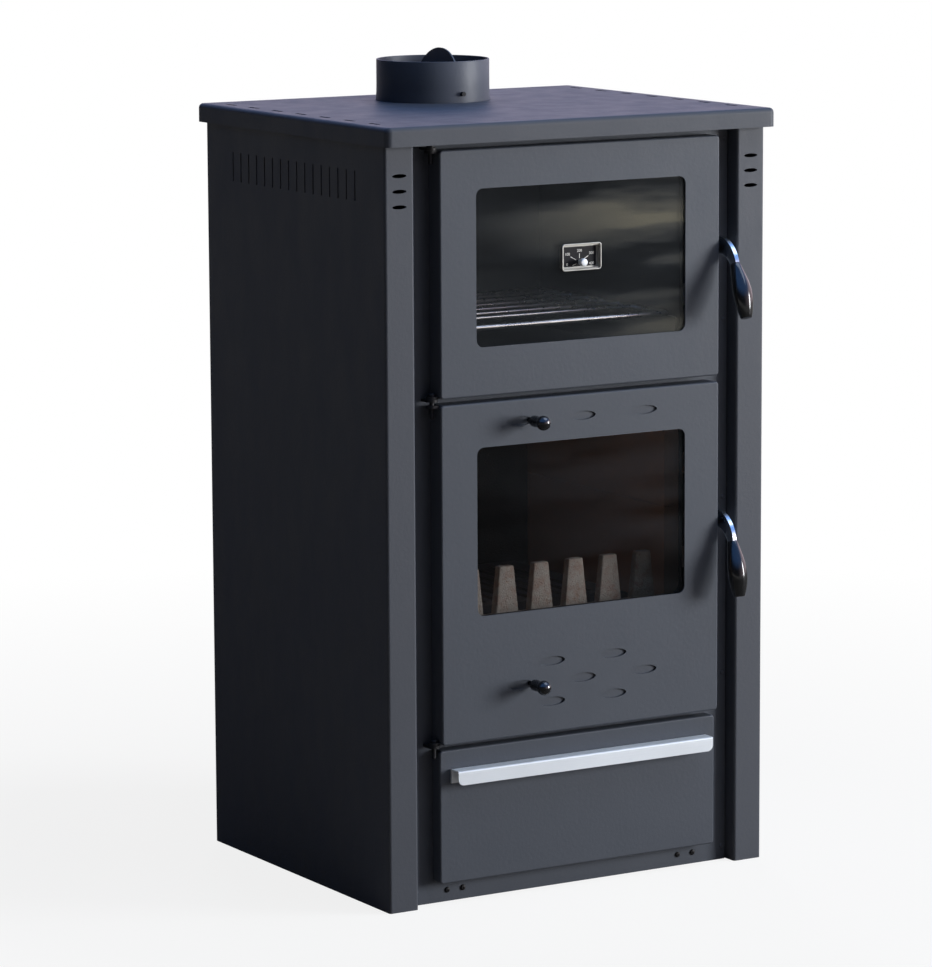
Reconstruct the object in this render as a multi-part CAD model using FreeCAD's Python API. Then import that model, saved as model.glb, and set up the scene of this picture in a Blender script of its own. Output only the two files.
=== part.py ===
"""Wood-burning cookstove with an oven over the firebox, a storage drawer and a flue collar.

Millimetres. +X is to the right as one faces the doors, +Y to the back, +Z up.
The origin lies on the floor, in the middle of the casing's footprint.
"""
import FreeCAD, Part
import math
import os

Vector = FreeCAD.Vector

# Outer casing
body_width = 492.0
body_depth = 406.0
casing_sheet = 1.5
casing_bend = 3.0
column_width = 36.5
column_flange = 13.0
rear_flange = 14.0

# Heights of the front, from the floor up
plinth_height = 24.5
drawer_height = 150.0
drawer_gap = 7.0
fire_door_height = 376.0
door_gap = 7.0
oven_door_height = 269.5
top_gap = 7.0
skirt_height = 21.0

# Top plate
top_sheet = 3.0
top_side_overhang = 5.5
top_front_overhang = 15.0
top_back_overhang = 12.0
top_edge_radius = 5.0
top_corner_radius = 7.0
top_slot_count = 7
top_slot_end_room = 40.1
top_slot_length = 22.5
top_slot_width = 5.0
top_slot_inset = 19.5
top_slot_shift = 5.0

# Vent slots in the casing
column_slot_count = 3
column_slot_length = 17.5
column_slot_width = 4.4
vent_top_drop = 30.0
column_slot_pitch = 16.7
louvre_count = 16
louvre_end_room = 64.25
louvre_width = 2.5
louvre_height = 33.0
back_vent_rows = 2
back_vent_count = 11
back_vent_end_room = 76.0
back_vent_drop = 60.0
back_margin = 6.0
back_floor_gap = 4.0
back_screw_rows = 4
back_screw_radius = 4.0
back_screw_head = 2.0

# Front frame behind the doors
frame_recess = 17.0
frame_sheet = 3.0
opening_side_room = 14.0
opening_margin = 24.0
opening_radius = 6.0
drawer_opening_side = 13.5
drawer_opening_top = 8.0
drawer_opening_floor = 6.0
rivet_count = 5
rivet_first = 15.5
rivet_top_room = 6.5
rivet_radius = 2.6
rivet_shank = 1.6
rivet_head = 1.2

# Doors
door_side_gap = 28.0
door_proud = 6.5
door_sheet = 2.0
door_corner_radius = 4.0
door_edge_radius = 2.0
door_back_gap = 1.0
window_side_margin = 45.5
window_radius = 8.5
oven_window_head = 43.0
oven_window_sill = 53.5
fire_window_head = 49.5
fire_window_sill = 139.5
liner_sheet = 1.5
liner_side_margin = 9.5
liner_end_margin = 5.0
liner_window_room = 2.0
liner_back_room = 7.5
seal_radius = 3.5
seal_offset = 10.0
seal_corner = 12.0

# Glass and its clips
glass_thickness = 4.0
glass_lap = 8.0
clip_sheet = 1.5
clip_length = 24.0
clip_foot = 13.0
clip_arm = 8.0
clip_room = 2.0
clip_bend = 2.0
clip_screw_radius = 2.0
clip_screw_head_radius = 4.0
clip_screw_head = 2.5
clip_inset = 40.0

# Hinges on the left
hinge_set_off = 4.7
hinge_set_back = 5.0
hinge_pin_radius = 2.5
hinge_eye_radius = 6.5
hinge_plate = 3.0
hinge_head_radius = 4.2
hinge_head = 2.5
hinge_tail = 12.0

# Lever handles on the right
handle_oven_rise = 145.5
handle_fire_drop = 157.5
handle_fire_turn = 8.0
handle_set_back = 6.0
handle_stand_off = 5.5
lever_thickness = 4.8
lever_root_half = 10.5
lever_reach = 36.9
lever_drop = 16.1
lever_knee_reach = 23.6
lever_knee_rise = 2.6
lever_neck = 12.6
lever_inner_reach = 15.6
lever_inner_drop = 12.4
lever_edge = 1.0
tongue_reach = 22.0
tongue_half = 4.0
tongue_ramp = 1.5
tongue_side_room = 1.3
lever_swing = 40.0
grip_slope = 22.0
grip_neck_thickness = 9.0
grip_shoulder_at = 16.0
grip_shoulder_width = 18.5
grip_shoulder_thickness = 16.0
grip_belly_at = 33.0
grip_belly_width = 22.0
grip_belly_thickness = 23.0
grip_taper_at = 51.0
grip_taper_width = 18.5
grip_taper_thickness = 20.0
grip_length = 63.5
grip_tip_width = 11.0
grip_tip_thickness = 14.0
grip_bow = 3.0
grip_section_points = 12
pivot_radius = 4.0
pivot_collar_radius = 7.0
pivot_nut_radius = 6.0
pivot_nut_length = 3.0
pivot_head_length = 2.7

# Air slides in the fire door
oval_length = 34.5
oval_width = 10.0
oval_side_room = 55.0
lower_air_rise = 57.6
lower_row_pitch = 22.9
upper_air_drop = 24.0
slide_sheet = 1.5
slide_travel = 26.0
slide_port_length = 15.0
slide_end_room = 14.0
slide_lap = 4.5
guide_sheet = 1.2
guide_foot = 6.0
guide_arm = 5.0
guide_bend = 1.4
knob_radius = 7.7
knob_reach = 28.0
knob_neck_radius = 6.0
knob_waist_radius = 4.6
knob_neck_start = 5.0
knob_stem_radius = 2.5

# Oven thermometer
dial_width = 51.0
dial_height = 30.0
dial_corner = 3.5
dial_rim = 2.6
dial_front_set_back = 0.5
dial_wall = 1.2
dial_depth = 10.0
dial_plate = 0.6
dial_recess = 5.5
dial_head_room = 82.0
pointer_drop = 6.0
pointer_length = 16.0
pointer_width = 3.2
pointer_sheet = 0.5
pointer_hub_radius = 2.4
pointer_cap_radius = 5.2
pointer_cap = 4.0
pointer_cap_proud = 5.2
pointer_pin_radius = 0.7
pointer_rest = -100.0

# Oven
smoke_way = 62.0
oven_sheet = 2.0
rack_height = 44.0
rack_front_room = 24.0
rack_first_gap = 60.0
rack_back_room = 15.0
rack_rod_count = 8
rack_frame_radius = 3.0
rack_rod_radius = 2.0
rack_side_room = 3.0
runner_ledge = 10.0
runner_sheet = 1.5
runner_wall_height = 16.0

# Inner jacket round the fire and the oven
jacket_side_room = 33.0
jacket_sheet = 4.0
jacket_back_room = 21.0
jacket_bend = 8.0
ash_floor_sheet = 3.0

# Firebox
grate_shelf_drop = 23.0
grate_shelf_sheet = 4.0
grate_opening_side = 50.0
grate_opening_ends = 77.5
grate_lap = 10.0
grate_thickness = 14.0
grate_slot_width = 9.0
grate_rib = 11.0
grate_end_rib = 20.0
grate_edge = 16.0
brick_thickness = 28.0
brick_head_room = 13.5
brick_front_room = 38.0
brick_joint = 1.0
guard_set_back = 42.0
guard_thickness = 12.0
guard_side_room = 3.0
guard_bar = 12.0
guard_tooth_count = 6
guard_end_room = 33.5
guard_tooth_base = 29.6
guard_tooth_top = 18.5
guard_tooth_height = 53.5

# Ash pan under the grate
pan_side_room = 26.0
pan_front_room = 20.0
pan_back_room = 51.0
pan_height = 64.0
pan_sheet = 1.5
pan_handle_half = 32.0
pan_handle_reach = 12.0
pan_handle_radius = 3.0
pan_handle_drop = 20.0

# Drawer
drawer_proud = 0.0
drawer_sheet = 2.0
tray_side_room = 4.0
tray_back_room = 54.0
tray_height = 112.0
tray_sheet = 1.5
slide_rail_width = 34.0
slide_rail_sheet = 2.0
slide_rail_bend = 3.0
slide_rail_set_in = 11.0
slide_rail_back_room = 14.0
rail_screw_pitch = 20.0
rail_screw_level = 13.0
rail_screw_radius = 3.3
rail_screw_head = 2.0
rail_screw_shank = 2.0
rail_tab_height = 22.0
grip_bar_side = 13.5
grip_bar_depth = 17.5
grip_bar_height = 16.0
grip_bar_sheet = 2.0
grip_bar_bend = 3.0
grip_bar_corner = 7.0
grip_bar_drop = 21.0

# Flue collar and damper
flue_radius = 65.0
flue_wall = 2.0
flue_height = 47.0
flue_back_room = 93.0
flue_shoulder = 0.8
flue_shoulder_height = 17.0
flue_plate_room = 0.4
damper_radius = 50.0
damper_sheet = 2.0
damper_level = 10.0
damper_tilt = 8.5
spindle_radius = 2.5
spindle_front_stub = 4.0
spindle_back_stub = 14.0
saddle_length = 12.0
saddle_spacing = 52.0
saddle_wall = 2.0

# Clearances
running_gap = 0.05
slide_gap = 0.3
seat_gap = 0.2
hole_gap = 0.2
# cutters reach this far past the faces that they open
cut_over = 1.0

# Levels and faces worked out from the sizes above
half_width = body_width / 2
front_y = -body_depth / 2
back_y = body_depth / 2
drawer_bottom = plinth_height
drawer_top = drawer_bottom + drawer_height
fire_door_bottom = drawer_top + drawer_gap
fire_door_top = fire_door_bottom + fire_door_height
oven_door_bottom = fire_door_top + door_gap
oven_door_top = oven_door_bottom + oven_door_height
skirt_bottom = oven_door_top + top_gap
top_level = skirt_bottom + skirt_height
top_underside = top_level - top_sheet
column_inner = half_width - column_width
fold_room = casing_bend - casing_sheet + hole_gap
frame_front = front_y + frame_recess
frame_back = frame_front + frame_sheet
door_half = column_inner - door_side_gap
door_width = 2 * door_half
window_width = door_width - 2 * window_side_margin
oven_window_height = oven_door_height - oven_window_sill - oven_window_head
fire_window_height = fire_door_height - fire_window_sill - fire_window_head
opening_half_width = window_width / 2 + opening_side_room
drawer_opening_half = door_half - drawer_opening_side
tray_half_width = drawer_opening_half - tray_side_room
grip_bar_half = door_half - grip_bar_side
oval_pitch = window_width / 2 - oval_side_room
top_slot_pitch = (body_depth - 2 * top_slot_end_room) / (top_slot_count - 1)
louvre_pitch = (body_depth - 2 * louvre_end_room) / (louvre_count - 1)
back_vent_pitch = (body_width - 2 * back_vent_end_room) / (back_vent_count - 1)
rivet_pitch = (oven_door_top - rivet_top_room - rivet_first) / (rivet_count - 1)
door_face = front_y - door_proud
door_sheet_back = door_face + door_sheet
door_back = frame_front - door_back_gap
liner_back = frame_front - liner_back_room
glass_front = door_sheet_back
glass_back = glass_front + glass_thickness
oven_opening_bottom = oven_door_bottom + opening_margin
oven_opening_top = oven_door_top - opening_margin
fire_opening_bottom = fire_door_bottom + opening_margin
fire_opening_top = fire_door_top - opening_margin
drawer_opening_bottom = drawer_bottom + drawer_opening_floor
drawer_opening_height = drawer_height - drawer_opening_floor - drawer_opening_top
oven_window_bottom = oven_door_bottom + oven_window_sill
fire_window_bottom = fire_door_bottom + fire_window_sill
hinge_x = -door_half - hinge_set_off
hinge_y = front_y + hinge_set_back
handle_y = front_y + handle_set_back
handle_oven_z = oven_door_bottom + handle_oven_rise
handle_fire_z = fire_door_top - handle_fire_drop
lever_left = door_half + handle_stand_off
lever_mid = lever_left + lever_thickness / 2
vent_top = skirt_bottom - vent_top_drop
jacket_half_width = opening_half_width + jacket_side_room
jacket_inner = jacket_half_width - jacket_sheet
jacket_back = back_y - jacket_back_room
jacket_top_under = top_underside - jacket_sheet
shelf_top = fire_window_bottom - grate_shelf_drop
shelf_bottom = shelf_top - grate_shelf_sheet
brick_inner = jacket_inner - brick_thickness
brick_height = fire_opening_top - brick_head_room - shelf_top
oven_back = jacket_back - smoke_way
oven_depth = oven_back - frame_back
rack_length = oven_depth - rack_front_room - rack_first_gap - rack_back_room
rack_pitch = rack_length / (rack_rod_count - 2)
grate_opening_half = opening_half_width - grate_opening_side
grate_opening_depth = jacket_back - frame_back - 2 * grate_opening_ends
grate_slot_pitch = grate_slot_width + grate_rib
grate_slot_count = int(2 * (grate_opening_half - grate_end_rib) / grate_slot_pitch) + 1
guard_half_width = opening_half_width - guard_side_room
guard_tooth_pitch = 2 * (guard_half_width - guard_end_room) / (guard_tooth_count - 1)
pan_half_width = opening_half_width - pan_side_room
pan_depth = jacket_back - jacket_sheet - pan_back_room - frame_back - pan_front_room
flue_y = back_y - flue_back_room
flue_top = top_level + flue_height
flue_bore = flue_radius - flue_wall
damper_z = top_level + damper_level
lower_air_z = fire_door_bottom + lower_air_rise
upper_air_z = fire_door_top - upper_air_drop
slide_front = door_sheet_back + slide_gap
slide_back = slide_front + slide_sheet
tray_bottom = drawer_opening_bottom + slide_gap + slide_rail_sheet
rail_top = tray_bottom - slide_gap
drawer_face = front_y - drawer_proud
tray_depth = back_y - tray_back_room - drawer_face - drawer_sheet


def block(x_span, y_span, z_span):
    """Box between the low and high value of each axis."""
    corner = Vector(x_span[0], y_span[0], z_span[0])
    return Part.makeBox(x_span[1] - x_span[0], y_span[1] - y_span[0], z_span[1] - z_span[0], corner)


def rod(start, end, radius):
    """Round bar from one point to another."""
    run = end.sub(start)
    return Part.makeCylinder(radius, run.Length, start, run)


def fused(shapes):
    """One solid from pieces that meet or overlap."""
    whole = shapes[0]
    for shape in shapes[1:]:
        whole = whole.fuse(shape)
    return whole.removeSplitter()


def mirrored(shape):
    """Copy of a shape on the other side of the middle plane."""
    return shape.mirror(Vector(0, 0, 0), Vector(1, 0, 0))


def both_sides(shapes):
    """The given shapes and their mirror images."""
    return list(shapes) + [mirrored(shape) for shape in shapes]


def grouped(shapes):
    """Separate solids kept in one node."""
    return Part.makeCompound(list(shapes))


def rounded_slab(x_mid, z_mid, width, height, radius, y_span):
    """Upright plate with round corners, seen from the front."""
    x_half = width / 2
    z_half = height / 2
    slab = block((x_mid - x_half, x_mid + x_half), y_span, (z_mid - z_half, z_mid + z_half))
    corners = [edge for edge in slab.Edges if abs(edge.Vertexes[0].Y - edge.Vertexes[1].Y) > 0]
    return slab.makeFillet(radius, corners)


def oval_slab(x_mid, z_mid, length, width, y_span):
    """Upright elliptic bar along Y, longer along X."""
    middle = Vector(x_mid, y_span[0], z_mid)
    long_end = middle.add(Vector(length / 2, 0, 0))
    short_end = middle.add(Vector(0, 0, width / 2))
    ellipse = Part.Ellipse(long_end, short_end, middle)
    face = Part.Face(Part.Wire(ellipse.toShape()))
    return face.extrude(Vector(0, y_span[1] - y_span[0], 0))


def unit(vector):
    """Vector of length one along the given one."""
    return vector.multiply(1.0 / vector.Length)


def filleted_path(points, radii):
    """Edges along a bent line whose inner corners are arcs of the given radii."""
    edges = []
    last = points[0]
    for index in range(1, len(points) - 1):
        corner = points[index]
        back = unit(points[index - 1].sub(corner))
        ahead = unit(points[index + 1].sub(corner))
        half_angle = back.getAngle(ahead) / 2
        reach = radii[index - 1] / math.tan(half_angle)
        start = corner.add(Vector(back).multiply(reach))
        end = corner.add(Vector(ahead).multiply(reach))
        middle_way = unit(back.add(ahead))
        to_arc = radii[index - 1] / math.sin(half_angle) - radii[index - 1]
        middle = corner.add(Vector(middle_way).multiply(to_arc))
        edges.append(Part.LineSegment(last, start).toShape())
        edges.append(Part.Arc(start, middle, end).toShape())
        last = end
    edges.append(Part.LineSegment(last, points[-1]).toShape())
    return edges


def bent_sheet(points, thickness, bend, normal, length):
    """Folded sheet: points run along its left face seen against the normal, the metal lies to their right.

    The bend is the outer radius at every fold, and the profile is drawn out along the normal by the length.
    """
    count = len(points)
    ways = [unit(points[index + 1].sub(points[index])) for index in range(count - 1)]
    rights = [way.cross(normal) for way in ways]
    offset = [points[0].add(Vector(rights[0]).multiply(thickness))]
    left_radii = []
    right_radii = []
    for index in range(1, count - 1):
        before = rights[index - 1]
        after = rights[index]
        share = thickness / (1.0 + before.dot(after))
        offset.append(points[index].add(before.add(after).multiply(share)))
        turns_right = ways[index - 1].cross(ways[index]).dot(normal) < 0
        left_radii.append(bend if turns_right else bend - thickness)
        right_radii.append(bend - thickness if turns_right else bend)
    offset.append(points[-1].add(Vector(rights[-1]).multiply(thickness)))
    edges = filleted_path(points, left_radii)
    edges.append(Part.LineSegment(points[-1], offset[-1]).toShape())
    edges += filleted_path(offset[::-1], right_radii[::-1])
    edges.append(Part.LineSegment(offset[0], points[0]).toShape())
    face = Part.Face(Part.Wire(Part.__sortEdges__(edges)))
    return face.extrude(Vector(normal).multiply(length))


def open_box(x_half, y_span, z_span, sheet):
    """Sheet-metal tray, open at the top."""
    outer = block((-x_half, x_half), y_span, z_span)
    inner_x = (-x_half + sheet, x_half - sheet)
    inner_y = (y_span[0] + sheet, y_span[1] - sheet)
    return outer.cut(block(inner_x, inner_y, (z_span[0] + sheet, z_span[1])))


def spaced(count, pitch):
    """Offsets of evenly spaced copies about zero."""
    return [(index - (count - 1) / 2) * pitch for index in range(count)]


def edges_on_plane(shape, axis, value):
    """Edges that lie wholly at one value of an axis."""
    chosen = []
    for edge in shape.Edges:
        box = edge.BoundBox
        low = getattr(box, axis + "Min")
        high = getattr(box, axis + "Max")
        if abs(low - value) < 1e-4 and abs(high - value) < 1e-4:
            chosen.append(edge)
    return chosen


def side_panel(side):
    """Side sheet with the front column, its return and the flange behind the front frame folded on."""
    up = Vector(0, 0, 1)
    outline = [
        Vector(half_width - rear_flange, back_y, 0),
        Vector(half_width, back_y, 0),
        Vector(half_width, front_y, 0),
        Vector(column_inner, front_y, 0),
        Vector(column_inner, frame_back, 0),
        Vector(column_inner - column_flange, frame_back, 0),
    ]
    panel = bent_sheet(outline, casing_sheet, casing_bend, up, top_underside)
    if side < 0:
        panel = mirrored(panel)
    cutters = []
    column_mid = side * (half_width - column_width / 2)
    for index in range(column_slot_count):
        slot_z = vent_top - column_slot_width / 2 - index * column_slot_pitch
        depth = (front_y - casing_sheet, front_y + 2 * casing_sheet)
        cutters.append(oval_slab(column_mid, slot_z, column_slot_length, column_slot_width, depth))
    for offset in spaced(louvre_count, louvre_pitch):
        x_span = sorted((side * (half_width - 2 * casing_sheet), side * (half_width + casing_sheet)))
        y_span = (offset - louvre_width / 2, offset + louvre_width / 2)
        cutters.append(block(x_span, y_span, (vent_top - louvre_height, vent_top)))
    for hole_z in rivet_levels():
        start = Vector(side * rivet_x(), frame_back - casing_sheet, hole_z)
        end = Vector(side * rivet_x(), frame_back + 2 * casing_sheet, hole_z)
        cutters.append(rod(start, end, rivet_shank + hole_gap))
    for hole_z in back_screw_levels():
        start = Vector(side * back_screw_x(), back_y - 2 * casing_sheet, hole_z)
        end = Vector(side * back_screw_x(), back_y + casing_sheet, hole_z)
        cutters.append(rod(start, end, rivet_shank + hole_gap))
    return panel.cut(cutters)


def rivet_x():
    """Distance of the frame rivets from the middle plane."""
    return column_inner - column_flange / 2


def rivet_levels():
    """Heights of the rivets that hold the front frame to the columns."""
    return [rivet_first + index * rivet_pitch for index in range(rivet_count)]


def back_screw_x():
    """Distance of the back panel's screws from the middle plane."""
    return half_width - (rear_flange + back_margin) / 2


def back_screw_levels():
    """Heights of the back panel's screws."""
    span = top_underside - back_floor_gap
    return [back_floor_gap + span * (index + 0.5) / back_screw_rows for index in range(back_screw_rows)]


def base_plate():
    """Floor sheet with upturned sides, between the side panels."""
    x_half = half_width - casing_sheet
    front = frame_back + casing_sheet
    lip = plinth_height
    outline = [
        Vector(-x_half, front, lip),
        Vector(-x_half, front, 0),
        Vector(x_half, front, 0),
        Vector(x_half, front, lip),
    ]
    depth = back_y - casing_bend - hole_gap - front
    return bent_sheet(outline, casing_sheet, casing_bend, Vector(0, 1, 0), depth)


def back_panel():
    """Flat rear sheet with two rows of vents, screwed to the side panels' flanges."""
    x_half = half_width - back_margin
    depth = (back_y, back_y + casing_sheet)
    panel = block((-x_half, x_half), depth, (back_floor_gap, top_underside))
    cutters = []
    through = (back_y - casing_sheet, back_y + 2 * casing_sheet)
    lower_row = back_floor_gap + back_vent_drop
    upper_row = top_underside - back_vent_drop - louvre_height
    row_step = (upper_row - lower_row) / (back_vent_rows - 1)
    for row in range(back_vent_rows):
        row_z = lower_row + row * row_step
        for offset in spaced(back_vent_count, back_vent_pitch):
            x_span = (offset - louvre_width, offset + louvre_width)
            cutters.append(block(x_span, through, (row_z, row_z + louvre_height)))
    for side in (-1, 1):
        for hole_z in back_screw_levels():
            start = Vector(side * back_screw_x(), through[0], hole_z)
            end = Vector(side * back_screw_x(), through[1], hole_z)
            cutters.append(rod(start, end, rivet_shank + hole_gap))
    return panel.cut(cutters)


def round_screw(x, z, face, way, head_radius, head_height, shank_radius, shank_length):
    """Dome-headed fastener along Y; its head stands off the face the given way."""
    head = rod(Vector(x, face, z), Vector(x, face + way * head_height, z), head_radius)
    outer_rim = edges_on_plane(head, "Y", face + way * head_height)
    head = head.makeFillet(0.6 * head_height, outer_rim)
    shank = rod(Vector(x, face, z), Vector(x, face - way * shank_length, z), shank_radius)
    return fused([head, shank])


def back_screws():
    """Screws of the back panel."""
    face = back_y + casing_sheet
    shank = 2 * casing_sheet
    screws = []
    for level in back_screw_levels():
        screws.append(round_screw(back_screw_x(), level, face, 1, back_screw_radius, back_screw_head,
                                  rivet_shank, shank))
    return grouped(both_sides(screws))


def frame_rivets():
    """Rivets through the front frame and the columns' flanges."""
    shank = frame_sheet + casing_sheet
    rivets = []
    for level in rivet_levels():
        rivets.append(round_screw(rivet_x(), level, frame_front, -1, rivet_radius, rivet_head,
                                  rivet_shank, shank))
    return grouped(both_sides(rivets))


def rail_screw_places():
    """Distances of the plinth screws from the middle plane on one side."""
    return [rail_mid() + offset for offset in (-rail_screw_pitch / 2, rail_screw_pitch / 2)]


def rail_mid():
    """Distance of the drawer rails from the middle plane."""
    return tray_half_width - slide_rail_set_in


def plinth_screws():
    """Screws through the plinth that hold the front ends of the drawer rails."""
    shank = frame_sheet + slide_rail_sheet
    screws = []
    for place in rail_screw_places():
        screws.append(round_screw(place, rail_screw_level, frame_front, -1,
                                  rail_screw_radius, rail_screw_head,
                                  rail_screw_shank, shank))
    return grouped(both_sides(screws))


def latch_slot(level, turn):
    """Hole in the front frame for a lever's tongue, with room for its swing."""
    swing = math.radians(lever_swing)
    reach = frame_back - handle_y
    low = level - reach * math.sin(swing) - 2 * tongue_half - tongue_ramp
    high = level + reach * math.sin(math.radians(turn)) + tongue_half + tongue_ramp
    x_span = (lever_left - tongue_side_room, lever_left + lever_thickness + tongue_side_room)
    return block(x_span, (frame_front - cut_over, frame_back + cut_over), (low, high))


def front_frame():
    """Upright plate behind the doors with the oven, fire and drawer openings and the latch slots."""
    x_half = column_inner - fold_room
    frame = block((-x_half, x_half), (frame_front, frame_back), (0, top_underside))
    through = (frame_front - cut_over, frame_back + cut_over)
    oven_mid = (oven_opening_bottom + oven_opening_top) / 2
    oven_height = oven_opening_top - oven_opening_bottom
    fire_mid = (fire_opening_bottom + fire_opening_top) / 2
    fire_height = fire_opening_top - fire_opening_bottom
    drawer_mid = drawer_opening_bottom + drawer_opening_height / 2
    cutters = [
        rounded_slab(0, oven_mid, 2 * opening_half_width, oven_height, opening_radius, through),
        rounded_slab(0, fire_mid, 2 * opening_half_width, fire_height, opening_radius, through),
        rounded_slab(0, drawer_mid, 2 * drawer_opening_half, drawer_opening_height, opening_radius, through),
        latch_slot(handle_oven_z, 0.0),
        latch_slot(handle_fire_z, handle_fire_turn),
    ]
    holes = []
    for level in rivet_levels():
        start = Vector(rivet_x(), through[0], level)
        end = Vector(rivet_x(), through[1], level)
        holes.append(rod(start, end, rivet_shank + hole_gap))
    for place in rail_screw_places():
        start = Vector(place, through[0], rail_screw_level)
        end = Vector(place, through[1], rail_screw_level)
        holes.append(rod(start, end, rail_screw_shank + hole_gap))
    return frame.cut(cutters + both_sides(holes))


def top_plate():
    """Cooking top: a pressed lid with a skirt, convection slots along both sides and the flue hole."""
    x_half = half_width + top_side_overhang
    y_span = (front_y - top_front_overhang, back_y + top_back_overhang)
    lid = block((-x_half, x_half), y_span, (skirt_bottom, top_level))
    uprights = [edge for edge in lid.Edges if abs(edge.Vertexes[0].Z - edge.Vertexes[1].Z) > 0]
    lid = lid.makeFillet(top_corner_radius, uprights)
    lid = lid.makeFillet(top_edge_radius, edges_on_plane(lid, "Z", top_level))
    inner_x = (-x_half + top_sheet, x_half - top_sheet)
    inner_y = (y_span[0] + top_sheet, y_span[1] - top_sheet)
    hollow = block(inner_x, inner_y, (skirt_bottom - cut_over, top_underside))
    uprights = [edge for edge in hollow.Edges if abs(edge.Vertexes[0].Z - edge.Vertexes[1].Z) > 0]
    hollow = hollow.makeFillet(top_corner_radius - top_sheet, uprights)
    lower = Vector(0, flue_y, top_underside - cut_over)
    hole = Part.makeCylinder(flue_radius + flue_shoulder + flue_plate_room, top_sheet + 2 * cut_over, lower)
    slot_x = x_half - top_slot_inset
    slots = []
    for offset in spaced(top_slot_count, top_slot_pitch):
        straight = top_slot_length - top_slot_width
        y_mid = offset + top_slot_shift
        bar = block((slot_x - top_slot_width / 2, slot_x + top_slot_width / 2),
                    (y_mid - straight / 2, y_mid + straight / 2),
                    (top_underside - cut_over, top_level + cut_over))
        ends = []
        for end in (-straight / 2, straight / 2):
            foot = Vector(slot_x, y_mid + end, top_underside - cut_over)
            ends.append(Part.makeCylinder(top_slot_width / 2, top_sheet + 2 * cut_over, foot))
        slots.append(fused([bar] + ends))
    return lid.cut([hollow, hole] + both_sides(slots))


def inner_jacket():
    """Steel walls round the fire and the oven: left, back and right in one folded sheet."""
    bottom = fire_opening_bottom - ash_floor_sheet
    outline = [
        Vector(-jacket_half_width, frame_back, bottom),
        Vector(-jacket_half_width, jacket_back, bottom),
        Vector(jacket_half_width, jacket_back, bottom),
        Vector(jacket_half_width, frame_back, bottom),
    ]
    return bent_sheet(outline, jacket_sheet, jacket_bend, Vector(0, 0, 1), jacket_top_under - bottom)


def jacket_top():
    """Smoke-tight cover of the jacket, under the cooking top, with the flue way."""
    plate = block((-jacket_half_width, jacket_half_width), (frame_back, jacket_back),
                  (jacket_top_under, top_underside))
    foot = Vector(0, flue_y, jacket_top_under - cut_over)
    hole = Part.makeCylinder(flue_bore, jacket_sheet + 2 * cut_over, foot)
    return plate.cut(hole)


def flue_collar():
    """Round spigot for the flue pipe, with a slightly wider foot that carries the damper spindle."""
    foot_radius = flue_radius + flue_shoulder
    foot_height = top_sheet + flue_shoulder_height
    base = Vector(0, flue_y, top_underside)
    foot = Part.makeCylinder(foot_radius, foot_height, base)
    spigot = Part.makeCylinder(flue_radius, flue_top - top_underside, base)
    bore = Part.makeCylinder(flue_bore, flue_top - top_underside, base)
    reach = foot_radius + 1
    hole = rod(Vector(0, flue_y - reach, damper_z), Vector(0, flue_y + reach, damper_z),
               spindle_radius + running_gap)
    return fused([foot, spigot]).cut([bore, hole])


def damper_spindle():
    """Rod across the collar that turns the damper disc."""
    reach = flue_radius + flue_shoulder
    start = Vector(0, flue_y - reach - spindle_front_stub, damper_z)
    end = Vector(0, flue_y + reach + spindle_back_stub, damper_z)
    spindle = rod(start, end, spindle_radius)
    tang_start = end.y - spindle_back_stub / 2
    flat = spindle_radius / 2
    cutters = []
    for low, high in ((flat, spindle_radius + cut_over), (-spindle_radius - cut_over, -flat)):
        cutters.append(block((low, high), (tang_start, end.y + cut_over),
                             (damper_z - spindle_radius - cut_over, damper_z + spindle_radius + cut_over)))
    turned = spindle.cut(cutters)
    return tilted(turned)


def tilted(shape):
    """Turns a damper piece about the spindle to the angle it rests at."""
    copy = shape.copy()
    copy.rotate(Vector(0, flue_y, damper_z), Vector(0, 1, 0), damper_tilt)
    return copy


def damper_disc():
    """Round flap with two saddles that grip the spindle."""
    face_x = spindle_radius
    start = Vector(face_x, flue_y, damper_z)
    disc = Part.makeCylinder(damper_radius, damper_sheet, start, Vector(1, 0, 0))
    saddle_half = spindle_radius + saddle_wall
    pieces = [disc]
    for offset in spaced(2, saddle_spacing):
        y_mid = flue_y + offset
        y_span = (y_mid - saddle_length / 2, y_mid + saddle_length / 2)
        pieces.append(block((-saddle_half, face_x), y_span, (damper_z - saddle_half, damper_z + saddle_half)))
    reach = damper_radius + 1
    bore = rod(Vector(0, flue_y - reach, damper_z), Vector(0, flue_y + reach, damper_z),
               spindle_radius + running_gap)
    return tilted(fused(pieces).cut(bore))


def oven_box():
    """Oven liner: a sheet box open to the front."""
    x_half = opening_half_width + oven_sheet
    outer = block((-x_half, x_half), (frame_back, oven_back + oven_sheet),
                  (oven_opening_bottom - oven_sheet, oven_opening_top + oven_sheet))
    hollow = block((-opening_half_width, opening_half_width), (frame_back - cut_over, oven_back),
                   (oven_opening_bottom, oven_opening_top))
    return outer.cut(hollow)


def rack_level():
    """Height of the rack frame's axis."""
    return oven_opening_bottom + rack_height


def rack_side():
    """Distance of the rack's side bars from the middle plane."""
    return opening_half_width - runner_sheet - rack_side_room - rack_frame_radius


def oven_rack_runners():
    """Angle ledges on the oven's side walls that carry the rack."""
    ledge_top = rack_level() - rack_frame_radius
    front = frame_back + rack_front_room / 2
    outline = [
        Vector(opening_half_width - runner_ledge, front, ledge_top),
        Vector(opening_half_width, front, ledge_top),
        Vector(opening_half_width, front, ledge_top - runner_wall_height),
    ]
    length = oven_depth - rack_front_room / 2
    runner = bent_sheet(outline, runner_sheet, 2 * runner_sheet, Vector(0, -1, 0), -length)
    return grouped(both_sides([runner]))


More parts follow.
